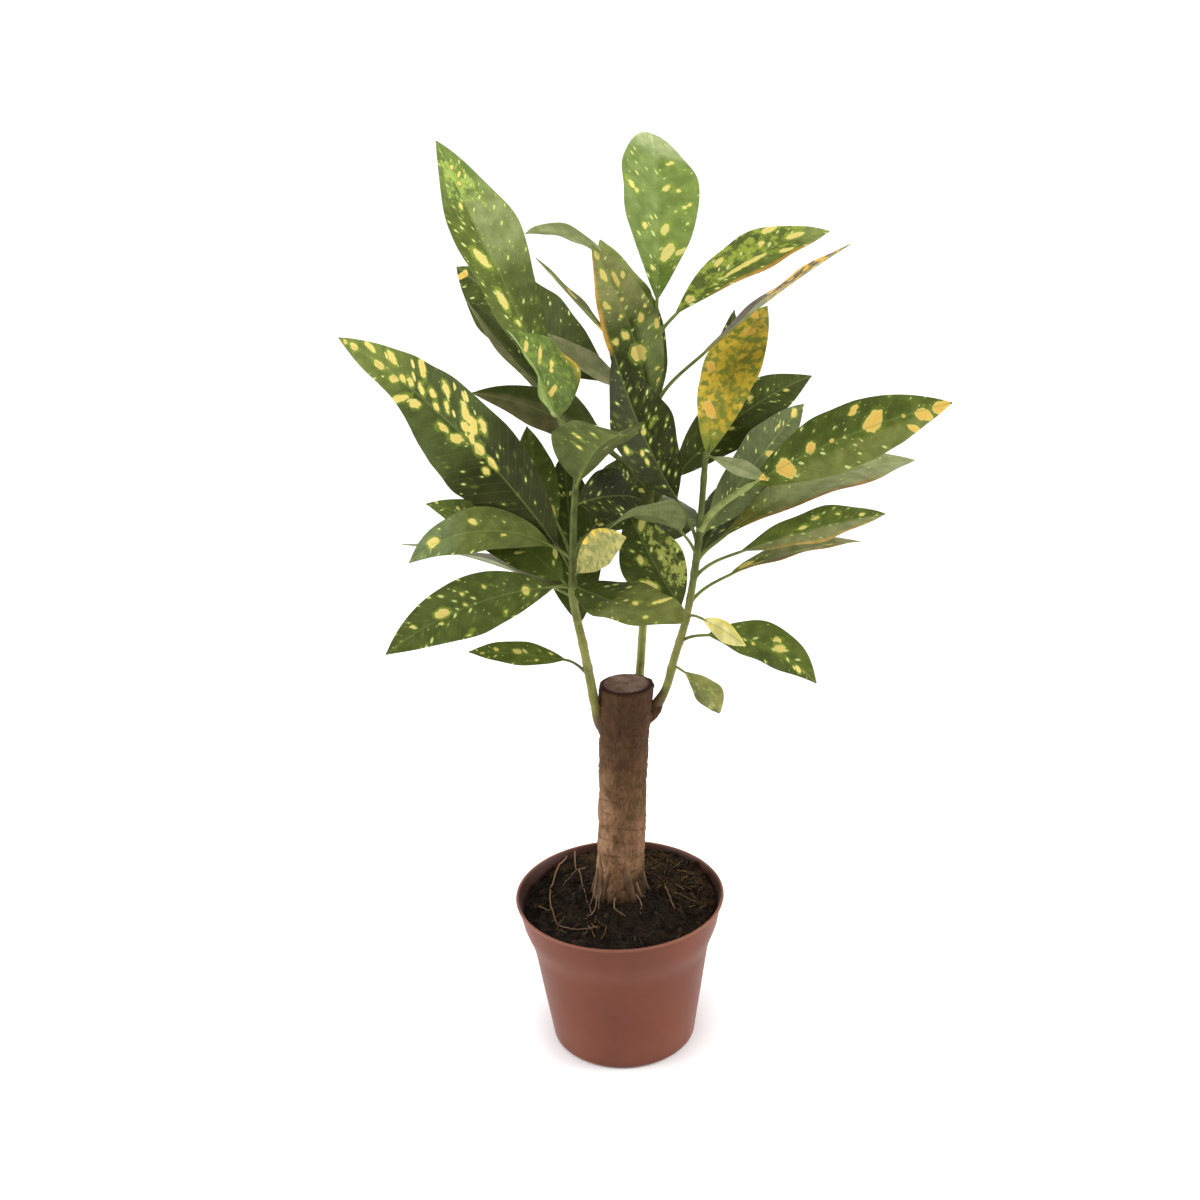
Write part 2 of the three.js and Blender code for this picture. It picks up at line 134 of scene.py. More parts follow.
def add_node(tree, kind, inputs=None, **settings):
    made = tree.nodes.new(kind)
    for setting, value in settings.items():
        setattr(made, setting, value)
    for socket, value in (inputs or {}).items():
        fill(tree, made.inputs[socket], value)
    return made


class Value:
    """What a node gives at every point of a piece. A sum with it adds the node that works the sum out."""

    def __init__(self, socket):
        self.socket = socket

    def worked(self, operation, *others):
        made = add_node(self.socket.id_data, "ShaderNodeMath", dict(enumerate((self, *others))),
                        operation=operation)
        return Value(made.outputs[0])

    def __add__(self, other):
        return self.worked("ADD", other)

    def __sub__(self, other):
        return self.worked("SUBTRACT", other)

    def __mul__(self, other):
        return self.worked("MULTIPLY", other)

    def __lt__(self, other):
        return self.worked("LESS_THAN", other)

    def __gt__(self, other):
        return self.worked("GREATER_THAN", other)

    def step(self, low, high):
        """0 below low, 1 above high and smooth between; low above high turns it round."""
        if low > high:
            return self.step(high, low) * -1.0 + 1.0
        made = add_node(self.socket.id_data, "ShaderNodeMapRange",
                        {"Value": self, "From Min": low, "From Max": high}, interpolation_type="SMOOTHSTEP")
        return Value(made.outputs["Result"])

    def step_mm(self, low, high):
        return self.step(low * MM, high * MM)


class Finish:
    """A new material, and the patterns and colours that it is mixed from."""

    def __init__(self, name):
        self.material = bpy.data.materials.new(name)
        self.material.use_nodes = True
        self.tree = self.material.node_tree
        self.shader = self.tree.nodes["Principled BSDF"]
        self.place = self.node("ShaderNodeTexCoord").outputs["Object"]
        self.right, self.back, self.height = self.parts(self.place)

    def node(self, kind, inputs=None, **settings):
        return add_node(self.tree, kind, inputs, **settings)

    def parts(self, vector):
        return [Value(part) for part in self.node("ShaderNodeSeparateXYZ", {0: vector}).outputs]

    def kept(self, name, output="Fac"):
        """What the mesh keeps at its points under a name."""
        return Value(self.node("ShaderNodeAttribute", attribute_name=name).outputs[output])

    def clouds(self, scale, detail=3.0, roughness=0.55, drawn=None, place=None):
        """Noise between 0 and 1, drawn out along an axis where drawn is under 1."""
        place = place or self.place
        if drawn:
            place = self.node("ShaderNodeMapping", {"Vector": place, "Scale": drawn})
        made = self.node("ShaderNodeTexNoise", {"Vector": place, "Scale": scale, "Detail": detail,
                                                "Roughness": roughness})
        return Value(made.outputs["Fac"])

    def mix(self, share, *colours, blend="MIX"):
        one, other = (linear(c) if isinstance(c, tuple) and len(c) == 3 else c for c in colours)
        return self.node("ShaderNodeMix", {0: share, 6: one, 7: other}, data_type="RGBA",
                         blend_type=blend).outputs[2]

    def times(self, colour, *factors):
        return self.mix(1.0, colour, (*factors, 1.0), blend="MULTIPLY")

    def laid_over(self, colour, *layers):
        """A colour with others laid over it in turn, each as thickly as its share says."""
        for share, other in layers:
            colour = self.mix(share, colour, other)
        return colour

    def done(self, colour, roughness, shine, bumps, depth, strength):
        """The material, with bumps as deep as the given millimetres."""
        bump = self.node("ShaderNodeBump", {"Height": bumps, "Distance": depth * MM, "Strength": strength})
        for name, value in (("Base Color", colour), ("Roughness", roughness), ("Specular IOR Level", shine),
                            ("Normal", bump)):
            fill(self.tree, self.shader.inputs[name], value)
        return self.material


def keep(mesh, name, values):
    """Keeps a number, a place or a colour at every point of a mesh, for a material or a tree to read."""
    values = np.asarray(values, np.float32).ravel()
    kind, field = {1: ("FLOAT", "value"), 3: ("FLOAT_VECTOR", "vector"),
                   4: ("FLOAT_COLOR", "color")}[len(values) // len(mesh.vertices)]
    mesh.attributes.new(name, kind, "POINT").data.foreach_set(field, values)


def piece_of(name, points, faces, material=None, edges=(), **kept):
    """A mesh piece from points in millimetres."""
    mesh = bpy.data.meshes.new(name)
    mesh.from_pydata((np.asarray(points, float) * MM).tolist(), edges, faces)
    for label, values in kept.items():
        keep(mesh, label, values)
    if material:
        mesh.materials.append(material)
    return linked(name, mesh)


def linked(name, data):
    made = bpy.data.objects.new(name, data)
    bpy.context.scene.collection.objects.link(made)
    return made


def smoothed(piece, crease):
    piece.data.shade_smooth()
    piece.data.set_sharp_from_angle(angle=math.radians(crease))


def geometry_tree(name, **sockets):
    """An empty geometry tree with its named inputs; gives the tree, what it is given and its result."""
    tree = bpy.data.node_groups.new(name, "GeometryNodeTree")
    tree.interface.new_socket("Geometry", in_out="OUTPUT", socket_type="NodeSocketGeometry")
    for label, kind in (("Geometry", "Geometry"), *sockets.items(), ("Material", "Material")):
        tree.interface.new_socket(label, in_out="INPUT", socket_type="NodeSocket" + kind)
    return tree, tree.nodes.new("NodeGroupInput").outputs, tree.nodes.new("NodeGroupOutput").inputs


def painted(tree, given, result, geometry):
    """Ends a geometry tree: its copies become real meshes, in the material that it is given."""
    solid = add_node(tree, "GeometryNodeRealizeInstances", {0: geometry})
    paint = add_node(tree, "GeometryNodeSetMaterial", {"Geometry": solid, "Material": given["Material"]})
    tree.links.new(paint.outputs[0], result["Geometry"])
    return tree


def as_plain_mesh(piece):
    """Keeps what a piece's modifiers make of it as its own mesh, and takes them off."""
    graph = bpy.context.evaluated_depsgraph_get()
    graph.update()
    mesh = bpy.data.meshes.new_from_object(piece.evaluated_get(graph), depsgraph=graph)
    piece.modifiers.clear()
    piece.data = mesh


def built_by(piece, tree, **values):
    modifier = piece.modifiers.new(tree.name, "NODES")
    modifier.node_group = tree
    for socket in tree.interface.items_tree:
        if socket.in_out == "INPUT" and socket.name in values:
            modifier[socket.identifier] = values[socket.name]
    as_plain_mesh(piece)


def compass(sides):
    return [2 * math.pi * side / sides for side in range(sides)]


def turned(outline, sides):
    """Rings of points round the upright axis, one for each radius and height of an outline."""
    turns = compass(sides)
    return [[(radius * math.cos(turn), radius * math.sin(turn), height) for turn in turns]
            for radius, height in outline]


def closed_body(start, rings, end):
    """Points and faces of a body whose rings go up its inside, over its top, down its outside and in
    below it, from one middle point to the other."""
    sides = len(rings[0])
    last = 1 + (len(rings) - 1) * sides
    steps = [(side, (side + 1) % sides) for side in range(sides)]
    faces = [(here + side, here + sides + side, here + sides + after, here + after)
             for here in range(1, last, sides) for side, after in steps]
    for side, after in steps:
        faces += [(0, 1 + side, 1 + after), (last + after, last + side, last + sides)]
    return [start, *(point for ring in rings for point in ring), end], faces


def pot_outline():
    """From the middle of the underside outwards, up the wall, over the lip and down the inside."""
    disc, ring = CENTRE_DISC_RADIUS, FOOT_RING_RADIUS
    taper = (WALL_TOP_RADIUS - BASE_RADIUS) / TAPER_HEIGHT
    outline = [(CENTRE_RADIUS, 0), (disc - 0.6, 0), (disc, 0.2), (disc + 0.6, 1.8), (disc + 1, FLOOR_RECESS),
               (ring - 1, FLOOR_RECESS), (ring - 0.6, 1.8), (ring, 0.2), (ring + 0.4, 0)]
    for turn in range(0, 91, 15):
        angle = math.radians(turn)
        outline.append((BASE_RADIUS - BASE_ROUNDING * (1 - math.sin(angle)),
                        BASE_ROUNDING * (1 - math.cos(angle))))
    outline += [(BASE_RADIUS + taper * (height - BASE_ROUNDING), height) for height in WALL_HEIGHTS]
    outline += [(radius, SHOULDER + rise) for radius, rise in COLLAR_SWELL]
    radius, rise = COLLAR_SWELL[-1]
    outline += [(radius + (COLLAR_TOP_RADIUS - radius) * share,
                 SHOULDER + rise + (LIP_FOOT - SHOULDER - rise) * share) for share in (0.3, 0.7, 1)]
    outline += [(RIM_RADIUS - inset, LIP_FOOT + rise) for inset, rise in LIP_ROLL_UP]
    outline += [(RIM_RADIUS - inset, POT_HEIGHT - drop) for inset, drop in LIP_ROLL_IN]
    return outline + [(COLLAR_TOP_RADIUS - WALL, LIP_FOOT - 0.3), (COLLAR_FOOT_RADIUS - WALL, SHOULDER + 1.4),
                      *INNER_SHOULDER, (BASE_RADIUS - WALL + 0.4, FLOOR_TOP + 1.5),
                      (BASE_RADIUS - WALL - 1, FLOOR_TOP), (CENTRE_RADIUS, FLOOR_TOP)]


def drilled_tree():
    """Cuts a ring of round holes through a floor."""
    tree, given, result = geometry_tree("drainage holes", holes="Int", hole_radius="Float",
                                        ring_radius="Float", depth="Float")
    ring = add_node(tree, "GeometryNodeMeshCircle", {"Vertices": given["holes"],
                                                     "Radius": given["ring_radius"]})
    drill = add_node(tree, "GeometryNodeMeshCylinder", {"Vertices": 32, "Radius": given["hole_radius"],
                                                        "Depth": given["depth"]})
    drills = add_node(tree, "GeometryNodeInstanceOnPoints", {"Points": ring, "Instance": drill})
    solid = add_node(tree, "GeometryNodeRealizeInstances", {0: drills})
    cut = add_node(tree, "GeometryNodeMeshBoolean", {0: given["Geometry"], 1: solid},
                   operation="DIFFERENCE", solver="EXACT")
    return painted(tree, given, result, cut)


def plastic_material():
    """Matt plastic, dusty at its foot, with a painted highlight on its lip and stain and painted shade
    inside.
    """
    finish = Finish("terracotta coloured plastic")
    right, back, height = finish.right, finish.back, finish.height
    cloudy = finish.clouds(28, 4)
    speckle = finish.clouds(900, 2)
    # Painted highlight: a lighter band along the lip
    lip = height.step_mm(LIP_FOOT - 0.2, LIP_FOOT + 0.8)
    mid_wall = height * COLLAR_SLOPE + (COLLAR_FOOT_RADIUS - 0.85 - COLLAR_SLOPE * SHOULDER) * MM
    radius = (right * right + back * back).worked("SQRT")
    inside = (radius < mid_wall) * (height > STAIN_AND_SHADE_FROM * MM)
    # Peat stain with painted shade on the inside wall above the soil, darker deeper down
    stain_and_shade_depth = (height.step_mm(*STAIN_AND_SHADE_FADE) + cloudy).step(0.75, 1.3)
    body = finish.mix(cloudy.step(0.3, 0.75), TERRACOTTA_DARK, TERRACOTTA)
    body = finish.laid_over(
        body, (height.step_mm(DUST_HEIGHT, 0) * cloudy * 0.35, TERRACOTTA_DUST_AND_HIGHLIGHT),
        (lip * 0.5, TERRACOTTA_DUST_AND_HIGHLIGHT), (speckle.step(0.62, 0.75) * 0.2, TERRACOTTA_DUST_AND_HIGHLIGHT),
        (inside * 0.88, finish.mix(stain_and_shade_depth, INSIDE_STAIN_AND_SHADE, INSIDE_STAIN_AND_SHADE_DEEP)))
    finish.shader.inputs["Sheen Weight"].default_value = 0.13
    finish.shader.inputs["Sheen Roughness"].default_value = 0.3
    return finish.done(body, cloudy * 0.14 + 0.46, 0.25, speckle, 0.08, 0.6)


plastic = plastic_material()
pot_rings = turned(reversed(pot_outline()), POT_SIDES)
pot = piece_of("nursery_pot", *closed_body((0, 0, FLOOR_TOP), pot_rings, (0, 0, 0)), plastic)
built_by(pot, drilled_tree(), holes=DRAIN_HOLES, hole_radius=DRAIN_RADIUS * MM, ring_radius=DRAIN_CIRCLE * MM,
         depth=DRILL_LENGTH * MM, Material=plastic)
smoothed(pot, 50)
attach(pot, "root")
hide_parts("pot")


# Soil: dark peat potting soil that fills the pot to just under its lip and is mounded against the
# trunk. It was pressed in by hand, so its top is lumpy, with crumbs, bark chips and straw on it.
SOIL_EDGE = 85
SOIL_MOUND = 8.8
SOIL_SLOPE = 6
SOIL_SLOPE_TURN = math.radians(60)
SOIL_LUMP = 1.1
SOIL_GRIT = 0.45
SOIL_SIDES = 224
SOIL_RINGS = 84
BALL_FOOT = 4
BORE_FLOOR = 47.6
BORE_HEIGHTS = (47.8, 60, 72, 82)
GAP = 0.35
TRUNK_RADIUS = 13.5
FLARE = 4
FLARE_HEIGHT = 91
FLARE_SPREAD = 9
FLARE_ROOTS = 5
HEAD_SWELL = 1.6
HEAD_HEIGHT = 212
HEAD_SPREAD = 16
LEAN = 0.058
LEANS_FROM = 80
TRUNK_SET = -0.8
STREWN_FROM = 74
STRAW_REACH = 52.5
STRAW_COUNT = 110
STRAW_SEED = 12
PEAT = (34, 24, 14)
PEAT_DARK = (13, 10, 6)
PEAT_DRY = (84, 60, 36)
PEAT_FIBROUS = (84, 62, 32)
CHIP = (58, 40, 26)
CHIP_DRY = (104, 78, 50)
STRAW = (120, 94, 54)


def smoothstep(x, low, high):
    t = min(1.0, max(0.0, (x - low) / (high - low)))
    return t * t * (3 - 2 * t)


def trunk_radius(height, turn):
    """Round, but knobbly, flared into five roots at the soil and swollen where the shoots break out."""
    flare = FLARE * math.exp(-(((height - FLARE_HEIGHT) / FLARE_SPREAD) ** 2))
    swell = HEAD_SWELL * math.exp(-(((height - HEAD_HEIGHT) / HEAD_SPREAD) ** 2))
    roots = 0.45 + 0.55 * math.cos(FLARE_ROOTS * turn + 0.6)
    knobbly = 0.35 * math.sin(2 * turn + 1.1) + 0.25 * math.sin(3 * turn + height / 17)
    return TRUNK_RADIUS + flare * (0.6 + 0.4 * roots) + swell + knobbly


def trunk_centre(height):
    return LEAN * (height - LEANS_FROM) + TRUNK_SET


def soil_height(x, y):
    """The mound and its slope up to the back right, with lumps, smaller lumps and grit on them."""
    radius = math.hypot(x, y)
    reach = COLLAR_FOOT_RADIUS - WALL
    inward = smoothstep(reach - radius, 0, reach - TRUNK_RADIUS)
    uphill = max(0.0, math.cos(math.atan2(y, x) - SOIL_SLOPE_TURN)) * radius / reach
    lumps = (math.sin(x / 4.1 + 1) * math.cos(y / 3.7)
             + 0.6 * math.sin((x + y) / 6.3) * math.cos((x - y) / 2.9))
    coarse = noise.fractal(Vector((x, y, 3)) / 5.5, 1.0, 2.1, 3)
    grit = noise.noise(Vector((x, y, 9)) / 1.3)
    return (SOIL_EDGE + SOIL_MOUND * inward + SOIL_SLOPE * uphill + SOIL_LUMP * lumps
            + SOIL_LUMP * coarse + SOIL_GRIT * grit - 0.4)


def soil_rings():
    """Up the bore round the trunk, out over the top, down the pot's wall and in under the ball."""
    turns = compass(SOIL_SIDES)
    rings = [[(trunk_centre(height) + trunk_radius(height, turn) * math.cos(turn),
               trunk_radius(height, turn) * math.sin(turn), height) for turn in turns]
             for height in BORE_HEIGHTS]
    edge = COLLAR_FOOT_RADIUS - WALL - GAP
    for ring in range(SOIL_RINGS + 1):
        share = ring / SOIL_RINGS
        points = []
        for turn in turns:
            inner = trunk_radius(FLARE_HEIGHT, turn) - 0.6
            radius = inner + (edge - inner) * share
            x = trunk_centre(FLARE_HEIGHT) * (1 - share) + radius * math.cos(turn)
            y = radius * math.sin(turn)
            points.append((x, y, soil_height(x, y)))
        rings.append(points)
    side = [(edge, SHOULDER + 5), (edge, SHOULDER + 2.2), (WALL_TOP_RADIUS - 1.6, SHOULDER - 3.2),
            (BASE_RADIUS - 1.6, BALL_FOOT)]
    return rings + turned(side, SOIL_SIDES)


def peat_material(name, dark, peat_tone, dry):
    """Dark peat, browner and more fibrous at the back right, where its top has dried."""
    finish = Finish(name)
    lumps = finish.clouds(210, 5, 0.65)
    grain = finish.clouds(1100, 3, 0.7)
    uphill = finish.right * math.cos(SOIL_SLOPE_TURN) + finish.back * math.sin(SOIL_SLOPE_TURN)
    dried = uphill.step_mm(-5, 40) * finish.clouds(45).step(0.35, 0.6) * lumps.step(0.35, 0.55)
    body = finish.mix(lumps.step(0.38, 0.62), dark, peat_tone)
    body = finish.laid_over(body, (grain.step(0.56, 0.72) * 0.5, dry), (dried * 0.6, PEAT_FIBROUS))
    return finish.done(body, 0.95, 0.15, lumps + grain * 0.5, 1.2, 0.9)


def scattered_tree():
    """Crumbs, each a dented ball squashed and turned at random, strewn over the top of the soil."""
    tree, given, result = geometry_tree("strewn crumbs", density="Float", seed="Int", smallest="Float",
                                        largest="Float", rough="Float", lowest="Float")

    def upright_part(kind):
        vector = tree.nodes.new("GeometryNodeInput" + kind)
        return Value(add_node(tree, "ShaderNodeSeparateXYZ", {0: vector}).outputs[2])

    def drawn(kind, inputs):
        return add_node(tree, "FunctionNodeRandomValue", {"Seed": given["seed"], **inputs}, data_type=kind)

    def scaled(vector, size):
        return add_node(tree, "ShaderNodeVectorMath", {0: vector, "Scale": size}, operation="SCALE")

    on_top = (upright_part("Normal") > 0.3) * (upright_part("Position") > given["lowest"])
    spots = add_node(tree, "GeometryNodeDistributePointsOnFaces", {
        "Mesh": given["Geometry"], "Selection": on_top, "Density": given["density"], "Seed": given["seed"]})
    ball = add_node(tree, "GeometryNodeMeshIcoSphere", {"Radius": 1.0, "Subdivisions": 2})
    dents = add_node(tree, "ShaderNodeTexNoise", {"Scale": 1.3, "Detail": 2.0})
    push = add_node(tree, "ShaderNodeVectorMath", {0: dents.outputs["Color"], 1: (0.5, 0.5, 0.5)},
                    operation="SUBTRACT")
    crumb = add_node(tree, "GeometryNodeSetPosition", {"Geometry": ball,
                                                       "Offset": scaled(push, given["rough"])})
    size = drawn("FLOAT", {2: given["smallest"], 3: given["largest"]}).outputs[1]
    shape = drawn("FLOAT_VECTOR", {"Min": (0.6, 0.6, 0.4), "Max": (1.25, 1.0, 0.8), "Seed": 5})
    strewn = add_node(tree, "GeometryNodeInstanceOnPoints", {
        "Points": spots, "Instance": crumb, "Scale": scaled(shape, size),
        "Rotation": drawn("FLOAT_VECTOR", {"Min": (0, 0, 0), "Max": (6.3, 6.3, 6.3)})})
    return painted(tree, given, result, strewn)


def tube_tree():
    """A round tube along every run of edges, as thick as the radius kept at its points."""
    tree, given, result = geometry_tree("tubes", sides="Int")
    curve = add_node(tree, "GeometryNodeMeshToCurve", {0: given["Geometry"]})
    thick = add_node(tree, "GeometryNodeInputNamedAttribute", {"Name": "thick"}, data_type="FLOAT")
    ring = add_node(tree, "GeometryNodeCurvePrimitiveCircle", {"Resolution": given["sides"], "Radius": 1.0})
    tube = add_node(tree, "GeometryNodeCurveToMesh", {"Curve": curve, "Profile Curve": ring, "Scale": thick,
                                                      "Fill Caps": True})
    return painted(tree, given, result, tube)


def tubes_of(name, runs, material, sides):
    """runs: lists of (point, radius in mm, colour), each made into one tube."""
    stops = [stop for run in runs for stop in run]
    ends = set((np.cumsum([len(run) for run in runs]) - 1).tolist())
    edges = [(at, at + 1) for at in range(len(stops)) if at not in ends]
    places, radii, tones = zip(*stops)
    piece = piece_of(name, places, [], edges=edges, thick=np.array(radii) * MM, tone=tones)
    built_by(piece, TUBES, sides=sides, Material=material)
    smoothed(piece, 60)
    return piece


def fibre_material(name, roughness):
    """Straw, roots, stems: coloured by the tone kept along each tube, with fine lengthwise streaks."""
    finish = Finish(name)
    tone = finish.kept("tone", "Color")
    streaks = finish.clouds(700, drawn=(1, 1, 0.15))
    body = finish.mix(finish.clouds(120).step(0.35, 0.65), finish.times(tone, 0.62, 0.6, 0.55), tone)
    body = finish.mix(streaks.step(0.5, 0.7) * 0.3, body, finish.times(tone, 1.3, 1.3, 1.2))
    return finish.done(body, roughness, 0.2, streaks, 0.2, 0.7)


TUBES = tube_tree()
CRUMBS = scattered_tree()
peat = peat_material("peat", PEAT_DARK, PEAT, PEAT_DRY)
peat_chips = peat_material("peat and bark chips", PEAT, CHIP, CHIP_DRY)
dry_fibre = fibre_material("straw and roots", 0.8)
soil = piece_of("peat_soil", *closed_body((0, 0, BORE_FLOOR), soil_rings(), (0, 0, BALL_FOOT)), peat)
smoothed(soil, 80)

crumbs = linked("soil_crumbs", soil.data.copy())
built_by(crumbs, CRUMBS, density=90000.0, seed=4, smallest=0.5 * MM, largest=1.7 * MM, rough=1.1,
         lowest=STREWN_FROM * MM, Material=peat)
chips = linked("bark_chips", soil.data.copy())
built_by(chips, CRUMBS, density=9000.0, seed=9, smallest=1.1 * MM, largest=2.6 * MM, rough=1.5,
         lowest=STREWN_FROM * MM, Material=peat_chips)
for strewn in (crumbs, chips):
    smoothed(strewn, 70)


def straw_runs(count, seed):
    """Short bits of straw and dead root on the soil, most of them at the back right near the rim."""
    draw = random.Random(seed)
    runs = []
    while len(runs) < count:
        radius = 50 - 26 * draw.random() ** 1.6
        turn = draw.gauss(0.75, 0.6) if draw.random() < 0.62 else draw.uniform(0, 2 * math.pi)
        x, y = radius * math.cos(turn), radius * math.sin(turn)
        heading, bend = turn + draw.gauss(math.pi, 0.8), draw.uniform(-0.12, 0.12)
        length, thick = draw.uniform(3, 9), draw.uniform(0.14, 0.42)
        shade = draw.uniform(0.35, 1.0)
        tone = linear([c * shade for c in STRAW])
        run = []
        for step in range(7):
            if math.hypot(x, y) < STRAW_REACH:
                run.append(((x, y, soil_height(x, y) + thick + draw.uniform(0.1, 0.9)), thick, tone))
            x += length / 6 * math.cos(heading)
            y += length / 6 * math.sin(heading)
            heading += bend
        if len(run) > 3:
            runs.append(run)
    return runs


straw = tubes_of("straw_bits", straw_runs(STRAW_COUNT, STRAW_SEED), dry_fibre, 6)
for piece in (soil, crumbs, chips, straw):
    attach(piece, "root")
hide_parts("soil")


# Trunk: a woody croton stump, sawn flat at the top. Its grey-brown bark is cracked lengthwise and
# ringed with old leaf scars, and it flares into roots at the soil. The three shoots broke out
# through swollen collars of bark near the cut.
TRUNK_CUT = 224
BARK_VOXEL = 0.62
SCAR_SPACING = 8.5
# The cut's growth rings: how far they waver, and how many radians they go through in a metre
RING_WAVER = 3
RING_TURN = 5200
CRACK_DEPTH = 0.42
SCAR_DEPTH = 0.35
BARK = (106, 76, 50)
BARK_DARK = (72, 50, 31)
# Pale flecks of bark, and the painted light on the trunk's left side
BARK_PALE_AND_LIT = (154, 120, 92)
BARK_TAN = (146, 110, 80)
BARK_GREEN = (88, 74, 42)
# Darker bark towards the cut
BARK_DARK_TOP = (58, 38, 24)
# Painted shade in the cracks and ring scars
BARK_CRACK_SHADE = (52, 36, 22)
CUT_WOOD = (138, 112, 100)
CUT_STAINED = (108, 80, 68)
CUT_RIM = (50, 30, 24)
CUT_PITH = (74, 50, 40)
ROOT_TONE = (140, 110, 84)


def bark_relief(place):
    """How far the bark stands out, in millimetres, and how deep in a crack or a ring scar the point is."""
    cracks = noise.noise(Vector((place.x * 0.3, place.y * 0.3, place.z * 0.11)))
    seams = noise.noise(Vector((place.x * 0.12, place.y * 0.12, place.z * 0.3)) + Vector((7, 3, 1)))
    scales = noise.noise(Vector((place.x * 0.55, place.y * 0.55, place.z * 0.4)))
    lumps = noise.fractal(place * 0.085, 1.0, 2.0, 3)
    rings = math.sin(place.z * 2 * math.pi / SCAR_SPACING + 6 * noise.noise(place / 45))
    broken = min(1.0, max(0.0, 0.5 + 3 * noise.noise(place / 11 + Vector((3, 9, 4)))))
    crack = max(0.0, 1 - abs(cracks) / 0.12)
    seam = 0.7 * max(0.0, 1 - abs(seams) / 0.05)
    scar = broken * smoothstep(rings, 0.86, 1.0)
    lip = 0.7 * smoothstep(place.z, TRUNK_CUT - 7, TRUNK_CUT - 2)
    return (-CRACK_DEPTH * crack - CRACK_DEPTH * seam - SCAR_DEPTH * scar + 0.3 * scales + 0.5 * lumps + lip,
            max(0.6 * crack, seam, scar))


def trunk_piece(material):
    """The part's own trunk, remeshed finely, with its bark pushed in and out and its cut sawn."""
    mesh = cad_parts["trunk"].data.copy()
    built = bmesh.new()
    built.from_mesh(mesh)
    bmesh.ops.remove_doubles(built, verts=built.verts, dist=1e-6)
    bmesh.ops.recalc_face_normals(built, faces=built.faces)
    built.to_mesh(mesh)
    built.free()
    mesh.materials.clear()
    mesh.materials.append(material)
    trunk = linked("woody_trunk", mesh)
    remesh = trunk.modifiers.new("fine bark", "REMESH")
    remesh.mode = "VOXEL"
    remesh.voxel_size = BARK_VOXEL * MM
    even = trunk.modifiers.new("even bark", "SMOOTH")
    even.factor = 0.6
    even.iterations = 4
    as_plain_mesh(trunk)
    fine = trunk.data
    places, on_cut, cracked = [], [], []
    for point in fine.vertices:
        place = point.co / MM
        across = math.hypot(place.x - trunk_centre(TRUNK_CUT), place.y) / TRUNK_RADIUS
        share = smoothstep(place.z, TRUNK_CUT - 1.2, TRUNK_CUT - 0.5) if across < 1.12 else 0.0
        if share > 0.4:
            saw = 0.1 * math.sin(place.x * 2.1 + 0.4 * place.y) + 0.12 * noise.noise(place * 0.5)
            push, depth = Vector((0, 0, saw - 0.12)), 0.0
        else:
            out, depth = bark_relief(place)
            push = point.normal * (out - 0.1)
        places.append(place + push)
        on_cut.append(share)
        cracked.append(depth)
    fine.vertices.foreach_set("co", (np.array(places) * MM).ravel())
    keep(fine, "cut", on_cut)
    keep(fine, "cracked", cracked)
    fine.update()
    return trunk


def bark_material():
    """Scaly bark with painted light and shade, tan low down and dark brown by the cut, and the cut's sawn
    wood.
    """
    finish = Finish("bark and sawn wood")
    height = finish.height
    scaly = finish.clouds(190, 5, 0.62, (1, 1, 0.55))
    patches = finish.clouds(62, 4, drawn=(1, 1, 0.7))
    fine = finish.clouds(1000, 4, 0.7, (1, 1, 0.4))
    blots = finish.clouds(130, 4, 0.6, (1, 1, 0.8))
    aside = finish.right - (height * LEAN + (TRUNK_SET - LEAN * LEANS_FROM) * MM)
    tan = height.step_mm(190, 110) * patches.step(0.42, 0.6) * (blots.step(0.34, 0.6) * 0.5 + 0.35)
    mossy = patches.step(0.52, 0.4) * height.step_mm(200, 150)
    # Painted light: the trunk's left side is painted lighter in blotches, below the shoots
    lit_left_side = aside.step_mm(-2, -11) * height.step_mm(200, 160) * blots.step(0.36, 0.56)
    # Painted shade: the right side of the trunk's foot is darkened towards the peat's colour; lower down the
    # whole foot darkens in blots
    shaded_right_foot = aside.step_mm(-1, 9) * height.step_mm(122, 100) * 0.75
    foot = (height.step_mm(112, 90) * (blots + 0.1)).worked("MAXIMUM", shaded_right_foot)
    body = finish.laid_over(
        finish.mix(scaly.step(0.32, 0.64), BARK_DARK, BARK), (tan, BARK_TAN),
        (fine.step(0.52, 0.68) * 0.35, BARK_PALE_AND_LIT), (mossy * 0.4, BARK_GREEN), (lit_left_side * 0.65, BARK_PALE_AND_LIT),
        # Painted shade in the cracks and ring scars, darker the deeper they are
        (finish.kept("cracked") * 0.5, BARK_CRACK_SHADE), (height.step_mm(140, 205) * 0.7, BARK_DARK_TOP), (foot, PEAT))

    pith = (trunk_centre(TRUNK_CUT) * MM, 0, TRUNK_CUT * MM)
    radius = Value(finish.node("ShaderNodeVectorMath", {0: finish.place, 1: pith},
                               operation="DISTANCE").outputs["Value"])
    rings = ((radius + finish.clouds(90, 2) * (RING_WAVER * MM)) * RING_TURN).worked("SINE")
    wood = finish.laid_over(
        finish.mix(finish.clouds(140, 4).step(0.38, 0.64), CUT_WOOD, CUT_STAINED),
        (rings.step(-0.2, 0.8) * 0.22, CUT_RIM), (radius.step_mm(11.2, 13.4), CUT_RIM),
        (radius.step_mm(2.2, 1.2) * 0.6, CUT_PITH))
    body = finish.mix(finish.kept("cut"), body, wood)
    return finish.done(body, 0.82, 0.12, scaly + fine * 0.5, 0.7, 0.7)


